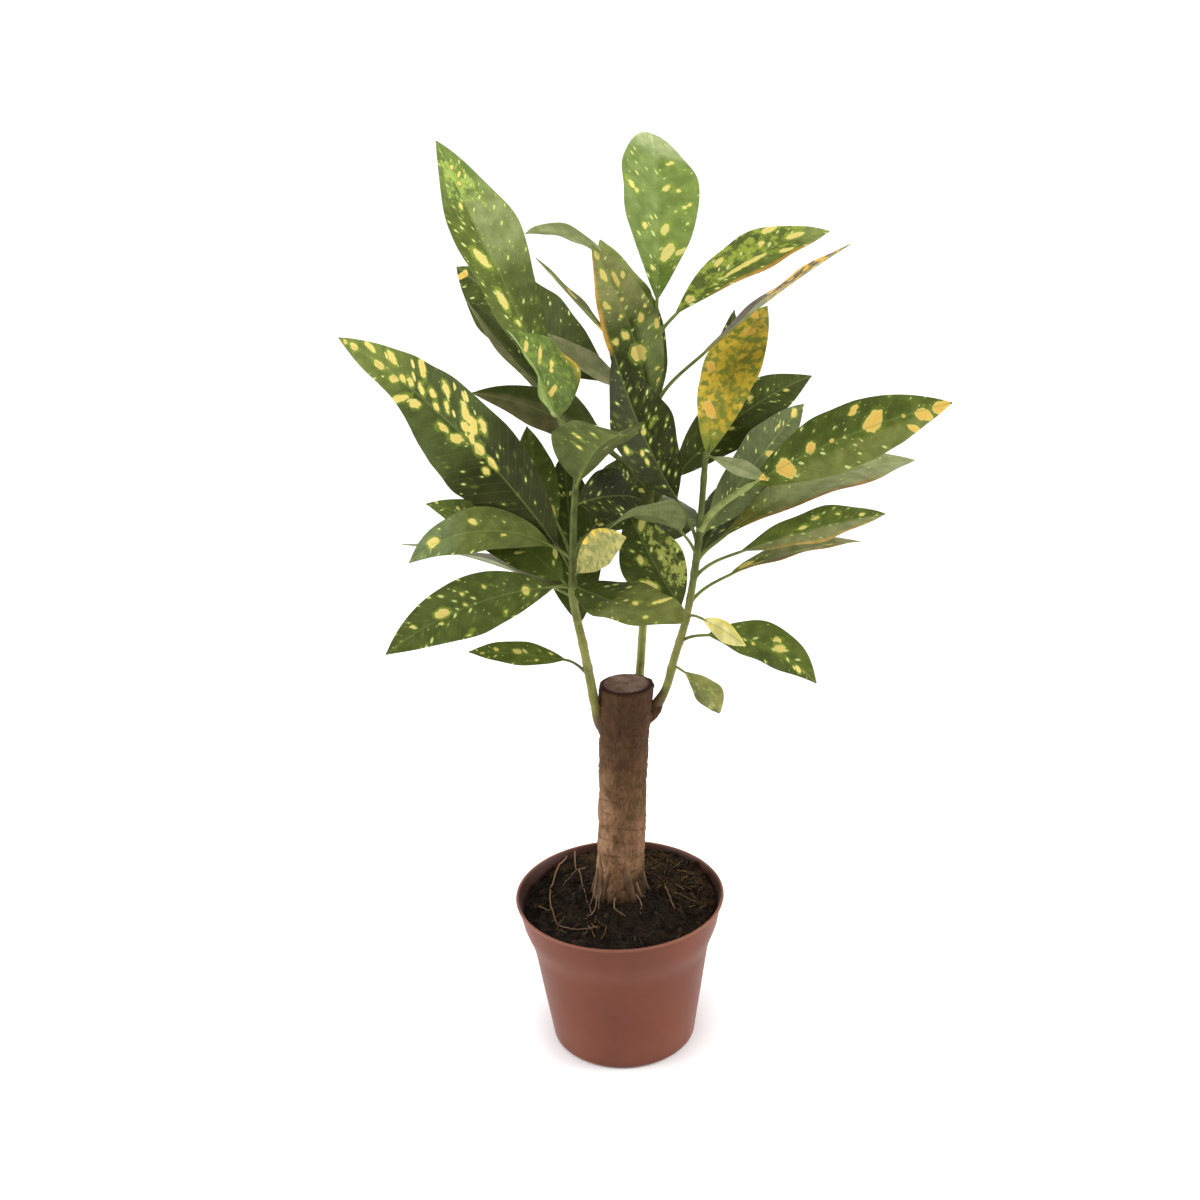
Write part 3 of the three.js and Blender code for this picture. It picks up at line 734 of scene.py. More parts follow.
# Each thin root: its radius, and the points that it runs through, right and away from the pot's
# axis and above the soil
SURFACE_ROOTS = [
    (0.5, [(-31, 48, 1), (-36, 37, 0), (-38.5, 26, 0), (-40.5, 10, 0), (-40, -4, 0), (-38.5, -14, 0),
           (-35, -24, 0), (-28, -30, 0), (-20, -32, 0), (-12, -31.5, 0)]),
    (0.45, [(-26, 50, 1), (-26, 42, 0), (-25, 33, 0), (-22, 16, 0), (-21, 4, 0), (-19, -8, 0),
            (-16.5, -22, 0)]),
    (0.55, [(-12.2, -4.4, 18), (-13.2, -5.8, 9), (-14.4, -8, 3), (-16, -11, 0), (-17, -16, 0)]),
    (0.5, [(-9.5, -9.5, 9), (-10.8, -11, 4), (-12, -14, 0), (-12.5, -19, 0)]),
    (0.4, [(-13, -13, 3), (-14, -17, 0), (-17, -22, 0), (-21, -25, 0)]),
    (0.5, [(-3, -16, 4), (-3.5, -19, 0), (-1, -24, 0), (3, -27, 0)]),
    (0.4, [(9, -13, 3), (12, -17, 0), (11, -23, 0)]),
    (0.35, [(-47, -4, 0), (-43, -8, 1), (-39, -13, 0)]),
    (0.6, [(26, -2, 1), (29, -8, 0), (31, -15, 0)]),
    (0.45, [(-20, 30, 0), (-27, 24, 0), (-33, 13, 0)]),
]
ROOT_LIFT = 0.5

# Each ridge where a root leaves the trunk: compass turn, height of its top and thickness
ROOT_RIDGES = [
    (-172, 106, 1.2), (-151, 120, 2.3), (-116, 116, 2.0), (-104, 102, 0.9), (-70, 118, 2.4), (-33, 104, 1.5),
    (4, 106, 1.3), (44, 112, 1.8), (95, 108, 1.6), (150, 110, 1.7),
]
RIDGE_STEPS = 14
RIDGE_SWING = 13
ROOT_STEPS = 5


def ridge_runs():
    """Half-sunk ridges that run down the foot of the trunk and out under the soil."""
    runs = []
    for turn, top, thick in ROOT_RIDGES:
        run = []
        for step in range(RIDGE_STEPS + 1):
            share = step / RIDGE_STEPS
            angle = math.radians(turn + RIDGE_SWING * math.sin(2.5 * share + turn))
            height = top - (top - FLARE_HEIGHT + 3) * min(1.0, 1.2 * share)
            reach = trunk_radius(height, angle) - 0.55 * thick + 9 * max(0.0, share - 0.6)
            x, y = trunk_centre(height) + reach * math.cos(angle), reach * math.sin(angle)
            radius = thick * (0.25 + 0.75 * math.sin(math.pi * min(1.0, 0.1 + share)) ** 0.6)
            tone = linear([c * (0.86 - 0.5 * share) for c in BARK_TAN])
            run.append(((x, y, max(height, soil_height(x, y) - 0.6)), radius, tone))
        runs.append(run)
    return runs


def root_runs():
    """Smooth cubics through the points of each root, thinner towards its end."""
    runs = []
    for thick, stops in SURFACE_ROOTS:
        run = []
        pieces = len(stops) - 1
        for step in range(pieces * ROOT_STEPS + 1):
            at = min(step / ROOT_STEPS, pieces - 1e-6)
            piece, t = int(at), at - int(at)
            before, here = stops[max(piece - 1, 0)], stops[piece]
            there, after = stops[piece + 1], stops[min(piece + 2, pieces)]
            x, y, lift = (0.5 * (2 * b + (c - a) * t + (2 * a - 5 * b + 4 * c - d) * t ** 2
                                 + (3 * b - a - 3 * c + d) * t ** 3)
                          for a, b, c, d in zip(before, here, there, after))
            share = step / (pieces * ROOT_STEPS)
            radius = thick * (1 - 0.45 * share)
            dip = 0.5 * noise.noise(Vector((x, y, 1)) / 6)
            tone = linear([c * (1.0 - 0.25 * share) for c in ROOT_TONE])
            run.append(((x, y, soil_height(x, y) + lift + radius + ROOT_LIFT + dip), radius, tone))
        runs.append(run)
    return runs


trunk = trunk_piece(bark_material())
smoothed(trunk, 80)
roots = tubes_of("surface_roots", root_runs() + ridge_runs(), dry_fibre, 10)
for piece in (trunk, roots):
    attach(piece, "root")
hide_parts("trunk")


# Leafy shoots: three green stems grown from the stump, with leathery leaves on long petioles, dark
# green on top and paler beneath, and spotted with gold. Each shoot is made in two pieces: its leaf
# blades, and its stem with its petioles.
STEM_FOOT_RADIUS = {"left": 2.9, "middle": 2.5, "right": 2.5}
STEM_TIP_RADIUS = 1.5
STEM_STEPS = 120
PETIOLE_STEPS = 16
BLADE_THICKNESS = 0.45
BLADE_END = 0.5
BLADE_STEP = 1.3
WAVE = 0.03
WAVES = 2.5
CURL = 0.25
MARGIN_RAGGED = 0.07
MARGIN_NOTCH = 17
VEIN_SPACING = 6.0
VEIN_LEAN = 0.75
QUILT_DEPTH = 0.16
RIB_WIDTH = 0.8
RIB_GROOVE = 0.25
BLOTCH_SHRINK = 0.82
WAVE_SEED = 7
ACROSS = [-1, -0.91, -0.78, -0.63, -0.47, -0.32, -0.18, -0.07, 0, 0.07, 0.18, 0.32, 0.47, 0.63, 0.78, 0.91, 1]
STEM_GREEN = (132, 132, 68)
STEM_DARK = (90, 100, 46)
STEM_WOODY = (96, 72, 46)
PETIOLE_GREEN = (116, 126, 62)
VEIN_GREEN = (128, 140, 76)
FRINGE_GREEN = (130, 148, 48)
DOT_LEMON = (196, 202, 126)
BLOTCH_LEMON = (210, 203, 118)
BLOTCH_GOLD = (220, 172, 74)
GOLD_PATCH = (214, 172, 66)
LIME_PATCH = (142, 156, 54)
UNDERSIDE = (124, 134, 88)

# Points of each stem, from the socket in the trunk to the growing tip
STEMS = {
    "left": [(-2, -1, 190), (-7, -2, 201), (-10, -4, 214), (-11.5, -5.5, 226), (-15, -8, 251),
             (-19, -12, 279), (-18, -15, 308), (-16, -18, 336), (-13, -20, 358)],
    "middle": [(10, 7, 200), (14, 13.5, 212), (16, 16.5, 226), (17.5, 17.5, 243), (20, 18, 271),
               (23, 20, 311), (26, 22, 355), (27, 22, 387), (30, 24, 413)],
    "right": [(13, 0, 198), (21, 0, 207), (26, 0, 213.5), (30, -0.5, 222), (34, -2, 238),
              (40, -4, 259), (44, -5, 279), (48, -7, 308), (50, -8, 330), (52, -10, 356)],
}

# How high above its socket each stem is still barked
STEM_BARK = {"left": 17, "middle": 14, "right": 16}

# Tones of the leaves' upper faces
TONES = {
    "deep": (41, 46, 15), "dark": (58, 68, 26), "mid": (76, 90, 34), "light": (104, 124, 66),
    "grey": (104, 114, 72), "dull": (100, 96, 68), "olive": (96, 98, 42), "yellow": (180, 158, 52),
    "cream": (194, 190, 126), "pale": (164, 176, 126),
}

# Most washes are the leaf's own colour; the grey-green ones are painted sheen, where the glossy blade catches
# the light.
# Each leaf: height on the stem, compass turn, rise, petiole length, blade length and width, droop, roll,
# sweep, widest share, tone, dots, streaks, and what else it has. The tone is one of those above or the
# leaf's own. Dots and streaks are shares of the blade that they mark. A spot is share along, share across,
# length and width, and gold is how orange the marks are. A wash is a soft change of colour between two
# shares along and two across. Mottle is how much of the blade a fine patchwork covers, and its colour.
# Area bounds the streaks and the mottle in the same way. A pinch is where along the blade, over how much
# of it, on which side and by how much the margin draws in. Under is how much of the lower face's pale
# green shows, blunt is how round the ends are, fold is in degrees, and drop is how far below the leaf its
# petiole leaves the stem.
LEAVES = {
    "left": [
        (240, 184, 13, 12, 52, 16, 8, 33, 0, 0.48, "mid", 0.7, 0.0, dict(spots=[(0.5, 0.2, 5, 3),
         (0.3, -0.5, 2.2, 2.2), (0.72, 0.3, 3, 2.4), (0.86, -0.2, 2.4, 1.8), (0.15, 0.5, 2.4, 1.8)],
         drop=9)),
        (255, 98, 57, 8, 94, 36, -17, 13, 0, 0.48, "dark", 0.5, 0.1, {}),
        (287, 195, 4, 10, 96, 32, 37, 74, 4, 0.48, (68, 80, 34), 0.75, 0.0, dict(spots=[(0.63, 0.15, 8, 5),
         (0.5, 0.5, 2.2, 2.2), (0.38, 0.5, 2.2, 2.2), (0.5, 0.1, 2.2, 2.2), (0.66, -0.2, 2.2, 2.2),
         (0.53, -0.85, 6, 2), (0.16, 0, 4, 5), (0.8, 0.4, 2.2, 2.2), (0.3, -0.7, 3, 2.4)])),
        (287, 321, -8, 3, 75, 38, -15, -10, -13, 0.46, "dark", 0.7, 0.0, dict(blunt=0.65,
         spots=[(0.66, -0.68, 4, 11), (0.5, -0.2, 4, 4), (0.7, 0.3, 4, 4), (0.3, 0.4, 3, 2.4)],
         washes=[(0.35, 1.1, -1.1, 1.1, (92, 98, 48))])),
        (281, 148, 15, 7, 107, 32, 19, -22, 0, 0.48, "dull", 0.2, 0.0, {}),
        (284, 150, 40, 8, 89, 29, 35, 45, 7, 0.42, "mid", 0.85, 0.35, dict(gold=0.1)),
        (291, 306, 47, 6, 62, 20, 27, -95, -12, 0.5, (148, 144, 86), 0.0, 0.0,
         dict(mottle=(0.45, (126, 130, 76)), washes=[(0, 1, -1.2, -0.72, (196, 172, 74))])),
        (297, 152, 52, 15, 170, 50, 32, 82, -8, 0.42, "deep", 0.45, 0.3, dict(gold=0.4,
         pinch=(0.74, 0.15, -1, 0.4), area=(0.42, 1.1, -0.5, 1.2), spots=[(0.97, 0, 3, 2.4),
         (0.93, 0.1, 6, 4), (0.87, 0.7, 8, 4), (0.78, 0.6, 7, 6), (0.82, 0, 8, 4), (0.75, -0.1, 6, 4),
         (0.72, 0.1, 5, 4), (0.69, 0.2, 5, 4), (0.67, 0.75, 5, 8), (0.7, -0.5, 5, 12), (0.64, -0.25, 6, 5),
         (0.645, 0.2, 5, 5), (0.605, 0.32, 5.5, 5), (0.575, 0.08, 5, 4), (0.54, 0.26, 4.5, 4.5),
         (0.57, 0.65, 6, 6), (0.48, 0.5, 6, 9), (0.46, 0.2, 6, 5), (0.44, 0.4, 7, 7), (0.41, 0.55, 6, 5),
         (0.42, 0.1, 5, 5), (0.52, -0.2, 9, 4), (0.46, -0.15, 7, 6), (0.38, 0.05, 8, 6), (0.32, 0.05, 8, 4),
         (0.32, -0.2, 5, 3)], washes=[(0.4, 1.1, -1.1, 1.1, (60, 72, 28)),
         (0.72, 1.1, -1.1, 1.1, (90, 104, 42))])),
        (304, 168, 26, 13, 85, 27, 71, 45, -2, 0.49, "light", 0.6, 0.0, dict(spots=[(0.78, 0.1, 7, 6),
         (0.5, 0.4, 4, 4), (0.3, -0.2, 3, 2.4)], washes=[(0.4, 1.1, -1.2, 1.2, (87, 101, 60)),
         (-0.1, 0.6, -1.2, 1.2, (82, 92, 42))])),
        (304, 119, 41, 21, 67, 20, 10, 7, -24, 0.48, "mid", 0.8, 0.0, dict(spots=[(0.12, 0, 8, 4)])),
        (308, 60, 13, 15, 96, 36, -2, -43, 0, 0.48, "dark", 0.5, 0.1, {}),
        (333, 33, 5, 3, 49, 30, 34, -62, 24, 0.43, "deep", 0.7, 0.0, {}),
        (342, 294, 52, 6, 79, 48, 41, 8, -5, 0.47, "mid", 0.5, 0.0, dict(fold=26, under=0.12,
         spots=[(0.5, 0.5, 3, 9), (0.37, 0.35, 3, 6), (0.62, 0.3, 3, 5), (0.55, -0.5, 3, 8),
         (0.7, -0.2, 3, 5)], washes=[(-0.1, 1.1, -1.2, 0, (65, 71, 30)),
         (-0.1, 1.1, 0.1, 1.2, (66, 77, 34))])),
        (352, 165, 72, 29, 51, 50, 19, 17, 26, 0.38, (82, 100, 44), 0.7, 0.0, dict(fold=25, gold=0.5,
         mottle=(0.4, (120, 140, 58)), spots=[(0.6, 0.35, 3, 8), (0.75, 0.2, 3, 6), (0.45, 0.4, 3, 7),
         (0.25, 0.1, 3, 8)], washes=[(0, 1, -1.2, -0.5, (126, 144, 86)),
         (0.22, 0.46, 0.92, 1.3, (186, 156, 52))])),
        (357, 143, 65, 27, 146, 48, 3, 9, 10, 0.62, "mid", 1.0, 0.0, dict(gold=0.2,
         mottle=(0.55, (156, 176, 82)), area=(0.76, 0.95, -0.7, 0.6), spots=[(0.87, 0.25, 2.6, 2.6),
         (0.84, 0.05, 2.6, 2.4), (0.9, 0.1, 2.4, 2.4), (0.77, -0.35, 5, 3), (0.7, -0.4, 3, 2.4),
         (0.575, -0.42, 9, 10), (0.42, -0.4, 11, 6), (0.33, -0.2, 4, 4)],
         washes=[(0.56, 0.94, -0.1, 1.2, (116, 130, 80)), (0.8, 1.1, -1.2, 1.2, (94, 114, 54)),
         (0.1, 0.5, 0.1, 1.2, (64, 76, 30))])),
    ],
    "middle": [
        (292, 72, 17, 7, 75, 36, 32, -24, 0, 0.48, "dark", 0.5, 0.1, {}),
        (318, 32, 38, 22, 106, 34, 31, -36, 3, 0.47, "dark", 0.85, 0.0, dict(spots=[(0.8, 0.2, 3, 2.4),
         (0.6, -0.3, 4, 4), (0.4, 0.2, 3, 2.4)])),
        (331, 161, 39, 24, 116, 34, -9, -1, -8, 0.5, "dark", 0.1, 0.0,
         dict(washes=[(0, 1.1, -1.2, -0.3, (108, 110, 74))])),
        (330, 188, 43, 33, 78, 25, 31, 49, 5, 0.45, "dark", 0.1, 0.0,
         dict(washes=[(0.3, 1.1, -1.2, -0.55, (104, 86, 58)), (0, 1.1, -1.2, 0.3, (88, 88, 56))])),
        (356, 99, 58, 8, 96, 33, 13, 27, 0, 0.48, "dark", 0.5, 0.1, {}),
        (366, 238, 74, 10, 103, 30, 26, 135, -3, 0.43, "dark", 1.0, 0.0, dict(gold=0.35, spots=[
         (0.93, -0.1, 6, 2.4), (0.81, -0.3, 10, 3), (0.75, 0.25, 12, 2.4), (0.76, 0.7, 5, 2.4),
         (0.64, -0.6, 6, 3.5), (0.54, -0.15, 3, 2.4), (0.49, 0.45, 6, 4), (0.43, 0.9, 6, 3),
         (0.43, -0.25, 6, 4), (0.42, -0.65, 5, 3.5), (0.3, 0.02, 10, 9), (0.19, 0.7, 3, 2.4),
         (0.12, 0.8, 2.2, 2.2), (0.55, 0.75, 3, 2.4), (0.63, 0.1, 3, 2.4)],
         washes=[(0.55, 1.1, -1.2, 1.2, (116, 120, 72)), (-0.1, 0.5, 0.2, 1.2, (98, 110, 62)),
         (0.35, 1.0, -1.3, -0.86, (176, 140, 62))])),
        (371, 136, 21, 32, 136, 44, 0, 52, -7, 0.51, "dark", 0.8, 0.0, dict(spots=[(0.94, -0.3, 5, 8)],
         gold=0.8)),
        (371, 151, 30, 22, 50, 16, -2, 21, 3, 0.44, (132, 135, 100), 0.1, 0.0, {}),
        (377, 352, 42, 35, 94, 29, 11, 3, 0, 0.48, (84, 74, 60), 0.3, 0.0, dict(gold=0.8,
         mottle=(0.5, GOLD_PATCH), area=(0.45, 1.1, -1.2, 1.2))),
        (386, 160, 45, 24, 65, 20, -1, -17, -2, 0.48, "olive", 0.5, 0.0, dict(gold=0.6,
         spots=[(0.2, 0, 12, 4), (0.6, 0.3, 8, 3), (0.8, 0, 6, 3)])),
        (384, 113, 56, 15, 78, 34, 20, -20, 0, 0.48, "mid", 1.0, 0.1,
         dict(washes=[(0.6, 1.1, -1.2, 1.2, (112, 122, 66))])),
        (404, 80, 65, 25, 106, 47, 34, -26, 14, 0.61, "light", 1.0, 0.0, dict(blunt=0.65, gold=0.1, spots=[
         (0.56, -0.75, 4, 9), (0.79, 0.4, 3, 5), (0.62, 0.2, 4, 5), (0.62, 0.52, 3, 4),
         (0.64, 0.85, 2.2, 2.2), (0.53, 0.7, 3, 5), (0.37, -0.5, 4, 4), (0.375, 0.18, 7, 5),
         (0.25, 0.35, 9, 8), (0.26, 0.85, 3, 5), (0.16, -0.4, 3, 2.4)],
         washes=[(-0.1, 1.1, 0, 1.2, (102, 122, 58)), (0.85, 1.2, -1.2, 1.2, (146, 160, 114)),
         (0, 0.2, -1.2, 1.2, (84, 104, 38))])),
        (411, 17, 42, 13, 98, 28, 40, -31, 3, 0.54, "mid", 0.8, 0.0, dict(mottle=(0.42, LIME_PATCH),
         area=(0, 1, -1.2, 0.4), gold=0.3, spots=[(0.37, -0.6, 6, 4), (0.69, -0.85, 9, 4),
         (0.61, -0.3, 4, 4), (0.8, -0.2, 12, 3), (0.46, 0.25, 30, 3), (0.7, 0.6, 10, 3), (0.12, 0, 5, 5)],
         washes=[(0.25, 0.9, 0.84, 1.3, (150, 118, 44)), (0.85, 1.2, -1.2, 1.2, (112, 124, 70))])),
        (413, 168, 54, 42, 50, 16, 70, -38, -10, 0.52, "pale", 0.0, 0.0, {}),
    ],
    "right": [
        (235, 318, -16, 7, 32, 17, 39, -13, -3, 0.62, "grey", 0.1, 0.0, dict(mottle=(0.4, (160, 162, 92)),
         washes=[(0, 1.1, -1.2, 0.1, (132, 136, 80)), (0, 1.1, 0.1, 1.2, (104, 108, 66))])),
        (252, 340, 9, 15, 66, 29, 54, -21, -9, 0.48, "mid", 0.85, 0.0, dict(spots=[(0.6, -0.15, 6, 5),
         (0.55, -0.45, 4, 4), (0.82, 0.3, 4, 4), (0.4, 0.2, 2.2, 2.2)],
         washes=[(0.4, 1.1, 0.3, 1.2, (60, 72, 28))])),
        (264, 155, 55, 6, 58, 37, -8, 75, -9, 0.47, "dark", 0.7, 0.0, dict(gold=0.1,
         mottle=(0.5, (158, 164, 80)), area=(0.15, 0.85, 0.05, 1.2), spots=[(0.85, 0.5, 5, 6),
         (0.32, -0.5, 5, 8), (0.55, -0.3, 5, 4)])),
        (266, 312, -4, 11, 33, 12, 12, -82, -6, 0.52, "cream", 0.0, 0.0, dict(mottle=(0.25, (214, 190, 84)),
         washes=[(0.3, 1, -1.2, -0.7, (196, 190, 84))])),
        (292, 65, 25, 10, 90, 28, 21, 5, 0, 0.48, "dark", 0.5, 0.1, {}),
        (277, 8, 23, 23, 73, 20, 26, -2, -1, 0.49, "olive", 0.7, 0.0, dict(gold=0.3,
         spots=[(0.14, -0.3, 9, 4), (0.22, 0.3, 8, 3), (0.55, 0.6, 9, 3), (0.75, 0.3, 6, 3)],
         washes=[(0.3, 1.1, -1.2, 1.2, (130, 132, 92)), (0, 1, 0.75, 1.2, (150, 116, 50))])),
        (292, 356, 20, 25, 78, 30, 10, -17, -2, 0.54, "mid", 0.85, 0.0, dict(spots=[(0.85, -0.3, 3, 2.4),
         (0.7, -0.5, 3, 2.4), (0.55, -0.5, 5, 3), (0.45, -0.2, 6, 3)],
         washes=[(-0.1, 1.1, 0.05, 1.2, (112, 118, 74)), (0.2, 0.9, 0.85, 1.2, (150, 128, 66))])),
        (302, 206, 52, 16, 55, 31, 84, -30, 15, 0.42, (72, 82, 46), 0.3, 0.0,
         dict(washes=[(0.55, 1.1, -1.2, 1.2, (64, 76, 38))])),
        (298, 25, 28, 14, 136, 37, 37, -12, 6, 0.59, "olive", 0.6, 0.0, dict(gold=0.2,
         washes=[(0.25, 1.1, -1.2, 1.2, (120, 128, 84)), (0.1, 0.7, 0.86, 1.3, (136, 106, 60))])),
        (308, 47, 33, 6, 106, 32, 12, -71, 5, 0.49, (76, 86, 46), 0.6, 0.0, dict(gold=0.5,
         spots=[(0.9, -0.2, 6, 5), (0.6, 0.2, 5, 5), (0.75, -0.3, 3, 2.4)])),
        (310, 168, 60, 23, 84, 37, -17, 50, 8, 0.47, "deep", 0.85, 0.0, dict(spots=[(0.52, -0.3, 4, 4),
         (0.43, -0.75, 4, 4), (0.5, 0.4, 3.5, 3), (0.47, 0.05, 3, 3), (0.36, -0.3, 3, 3),
         (0.3, -0.3, 4, 2.4)])),
        (321, 8, 29, 28, 117, 34, 21, -78, 1, 0.5, "mid", 0.8, 0.0, dict(gold=0.75, thick=1.8,
         petiole=(146, 156, 92), spots=[(0.19, 0.15, 9, 12), (0.33, -0.15, 6, 6), (0.56, -0.7, 5, 6),
         (0.63, -0.15, 11, 11), (0.8, 0.75, 5, 6), (0.86, 0.3, 8, 8), (0.94, 0.3, 9, 7), (0.97, -0.2, 5, 4),
         (0.43, -0.05, 3, 2.4), (0.55, 0.25, 3, 2.4), (0.77, 0, 2.2, 2.2)],
         washes=[(0, 0.75, -1.2, -0.1, (62, 76, 26)), (0.2, 0.9, 0.3, 1.2, (102, 110, 56))])),
        (345, 74, 41, 12, 96, 24, 5, 33, 0, 0.48, "dark", 0.5, 0.1, {}),
        (345, 64, 58, 9, 104, 31, 40, -11, -5, 0.49, "yellow", 0.2, 0.0, dict(gold=1.0,
         mottle=(0.48, (126, 132, 50)), spots=[(0.9, -0.6, 6, 6), (0.76, 0, 6, 7), (0.47, -0.7, 7, 5),
         (0.24, -0.4, 8, 8)], washes=[(-0.1, 0.13, -1.2, 1.2, (96, 112, 44))])),
        (355, 331, -15, 4, 32, 10, 2, -35, 0, 0.51, "grey", 0.1, 0.0, dict(gold=0.8, spots=[(0.95, 0, 6, 6)],
         washes=[(0, 1.1, -1.2, 1.2, (122, 130, 90))])),
    ],
}


def stem_centre(points, height):
    """Centre of a stem at a height, on smooth cubics through its points."""
    step = 0
    while step < len(points) - 2 and height > points[step + 1][2]:
        step += 1

    def slope(at, axis):
        before, after = points[max(at - 1, 0)], points[min(at + 1, len(points) - 1)]
        return (after[axis] - before[axis]) / (after[2] - before[2])

    here, there = points[step], points[step + 1]
    rise = there[2] - here[2]
    t = (height - here[2]) / rise

    def blend(axis):
        return ((2 * t ** 3 - 3 * t ** 2 + 1) * here[axis] + (3 * t ** 2 - 2 * t ** 3) * there[axis]
                + (t ** 3 - 2 * t ** 2 + t) * rise * slope(step, axis)
                + (t ** 3 - t ** 2) * rise * slope(step + 1, axis))

    return np.array((blend(0), blend(1), height))


def read_leaf(row):
    keys = ("at", "turn", "rise", "stalk", "long", "wide", "droop", "roll", "sweep", "fullest",
            "tone", "dots", "streaks")
    leaf = dict(zip(keys, row), blunt=0.9, fold=12, gold=0.3, spots=[], area=(-0.1, 1.1, -1.2, 1.2),
                washes=[], mottle=(0, GOLD_PATCH), thick=0, under=0.55, petiole=PETIOLE_GREEN,
                pinch=(0.5, 0.1, 1, 0))
    leaf["drop"] = min(8.0, 0.3 * leaf["stalk"])
    leaf.update(row[-1])
    return leaf


def blended(one, other, share):
    return one * (1 - share) + np.array(linear(other)) * share


def between(share, out, area, soft=0.12):
    """1 inside an area of a blade, given as two shares along it and two across, and 0 outside it."""
    low_u, high_u, low_out, high_out = area
    inside = 1.0
    for room in (share - low_u, high_u - share, out - low_out, high_out - out):
        inside = inside * np.clip(room / soft + 0.5, 0, 1)
    return inside


def leaf_frame(leaf, share):
    """Direction of growth at shares of the blade's length, and the blade's right and upper sides there."""
    turn = np.radians(leaf["turn"] + leaf["sweep"] * share)
    rise = np.radians(leaf["rise"] - leaf["droop"] * share)
    roll = math.radians(leaf["roll"])
    along = np.stack([np.cos(turn) * np.cos(rise), np.sin(turn) * np.cos(rise), np.sin(rise)], -1)
    level = np.stack([np.sin(turn), -np.cos(turn), np.zeros_like(turn)], -1)
    above = np.cross(level, along)
    right = math.cos(roll) * level + math.sin(roll) * above
    face = math.cos(roll) * above - math.sin(roll) * level
    return along, right, face


def blade_spine(leaf, stem, steps):
    """Points of the midrib, from the end of the petiole to the tip."""
    fine = 4
    shares = (np.arange(steps * fine) + 0.5) / (steps * fine)
    foot = stem_centre(stem, leaf["at"]) + leaf["stalk"] * leaf_frame(leaf, np.zeros(1))[0][0]
    moves = leaf_frame(leaf, shares)[0] * leaf["long"] / (steps * fine)
    return np.vstack([foot, foot + np.cumsum(moves, 0)[fine - 1::fine]])


def half_width(leaf, share):
    bend = math.log(0.5) / math.log(leaf["fullest"])
    swell = np.sin(np.pi * np.clip(share, 0, 1) ** bend)
    return np.maximum(BLADE_END, leaf["wide"] / 2 * np.maximum(0, swell) ** leaf["blunt"])


def skin_faces(steps, columns):
    """An upper and a lower skin, joined along both margins and across both ends."""
    count = (steps + 1) * columns
    faces = []
    for ring in range(steps):
        left, far = ring * columns, (ring + 1) * columns - 1
        for a in range(left, far):
            b = a + columns
            faces += [(a, a + 1, b + 1, b), (count + a, count + b, count + b + 1, count + a + 1)]
        faces += [(left, left + columns, count + left + columns, count + left),
                  (far, count + far, count + far + columns, far + columns)]
    for near in range(columns - 1):
        end = steps * columns + near
        faces += [(near, count + near, count + near + 1, near + 1),
                  (end, end + 1, count + end + 1, count + end)]
    return faces


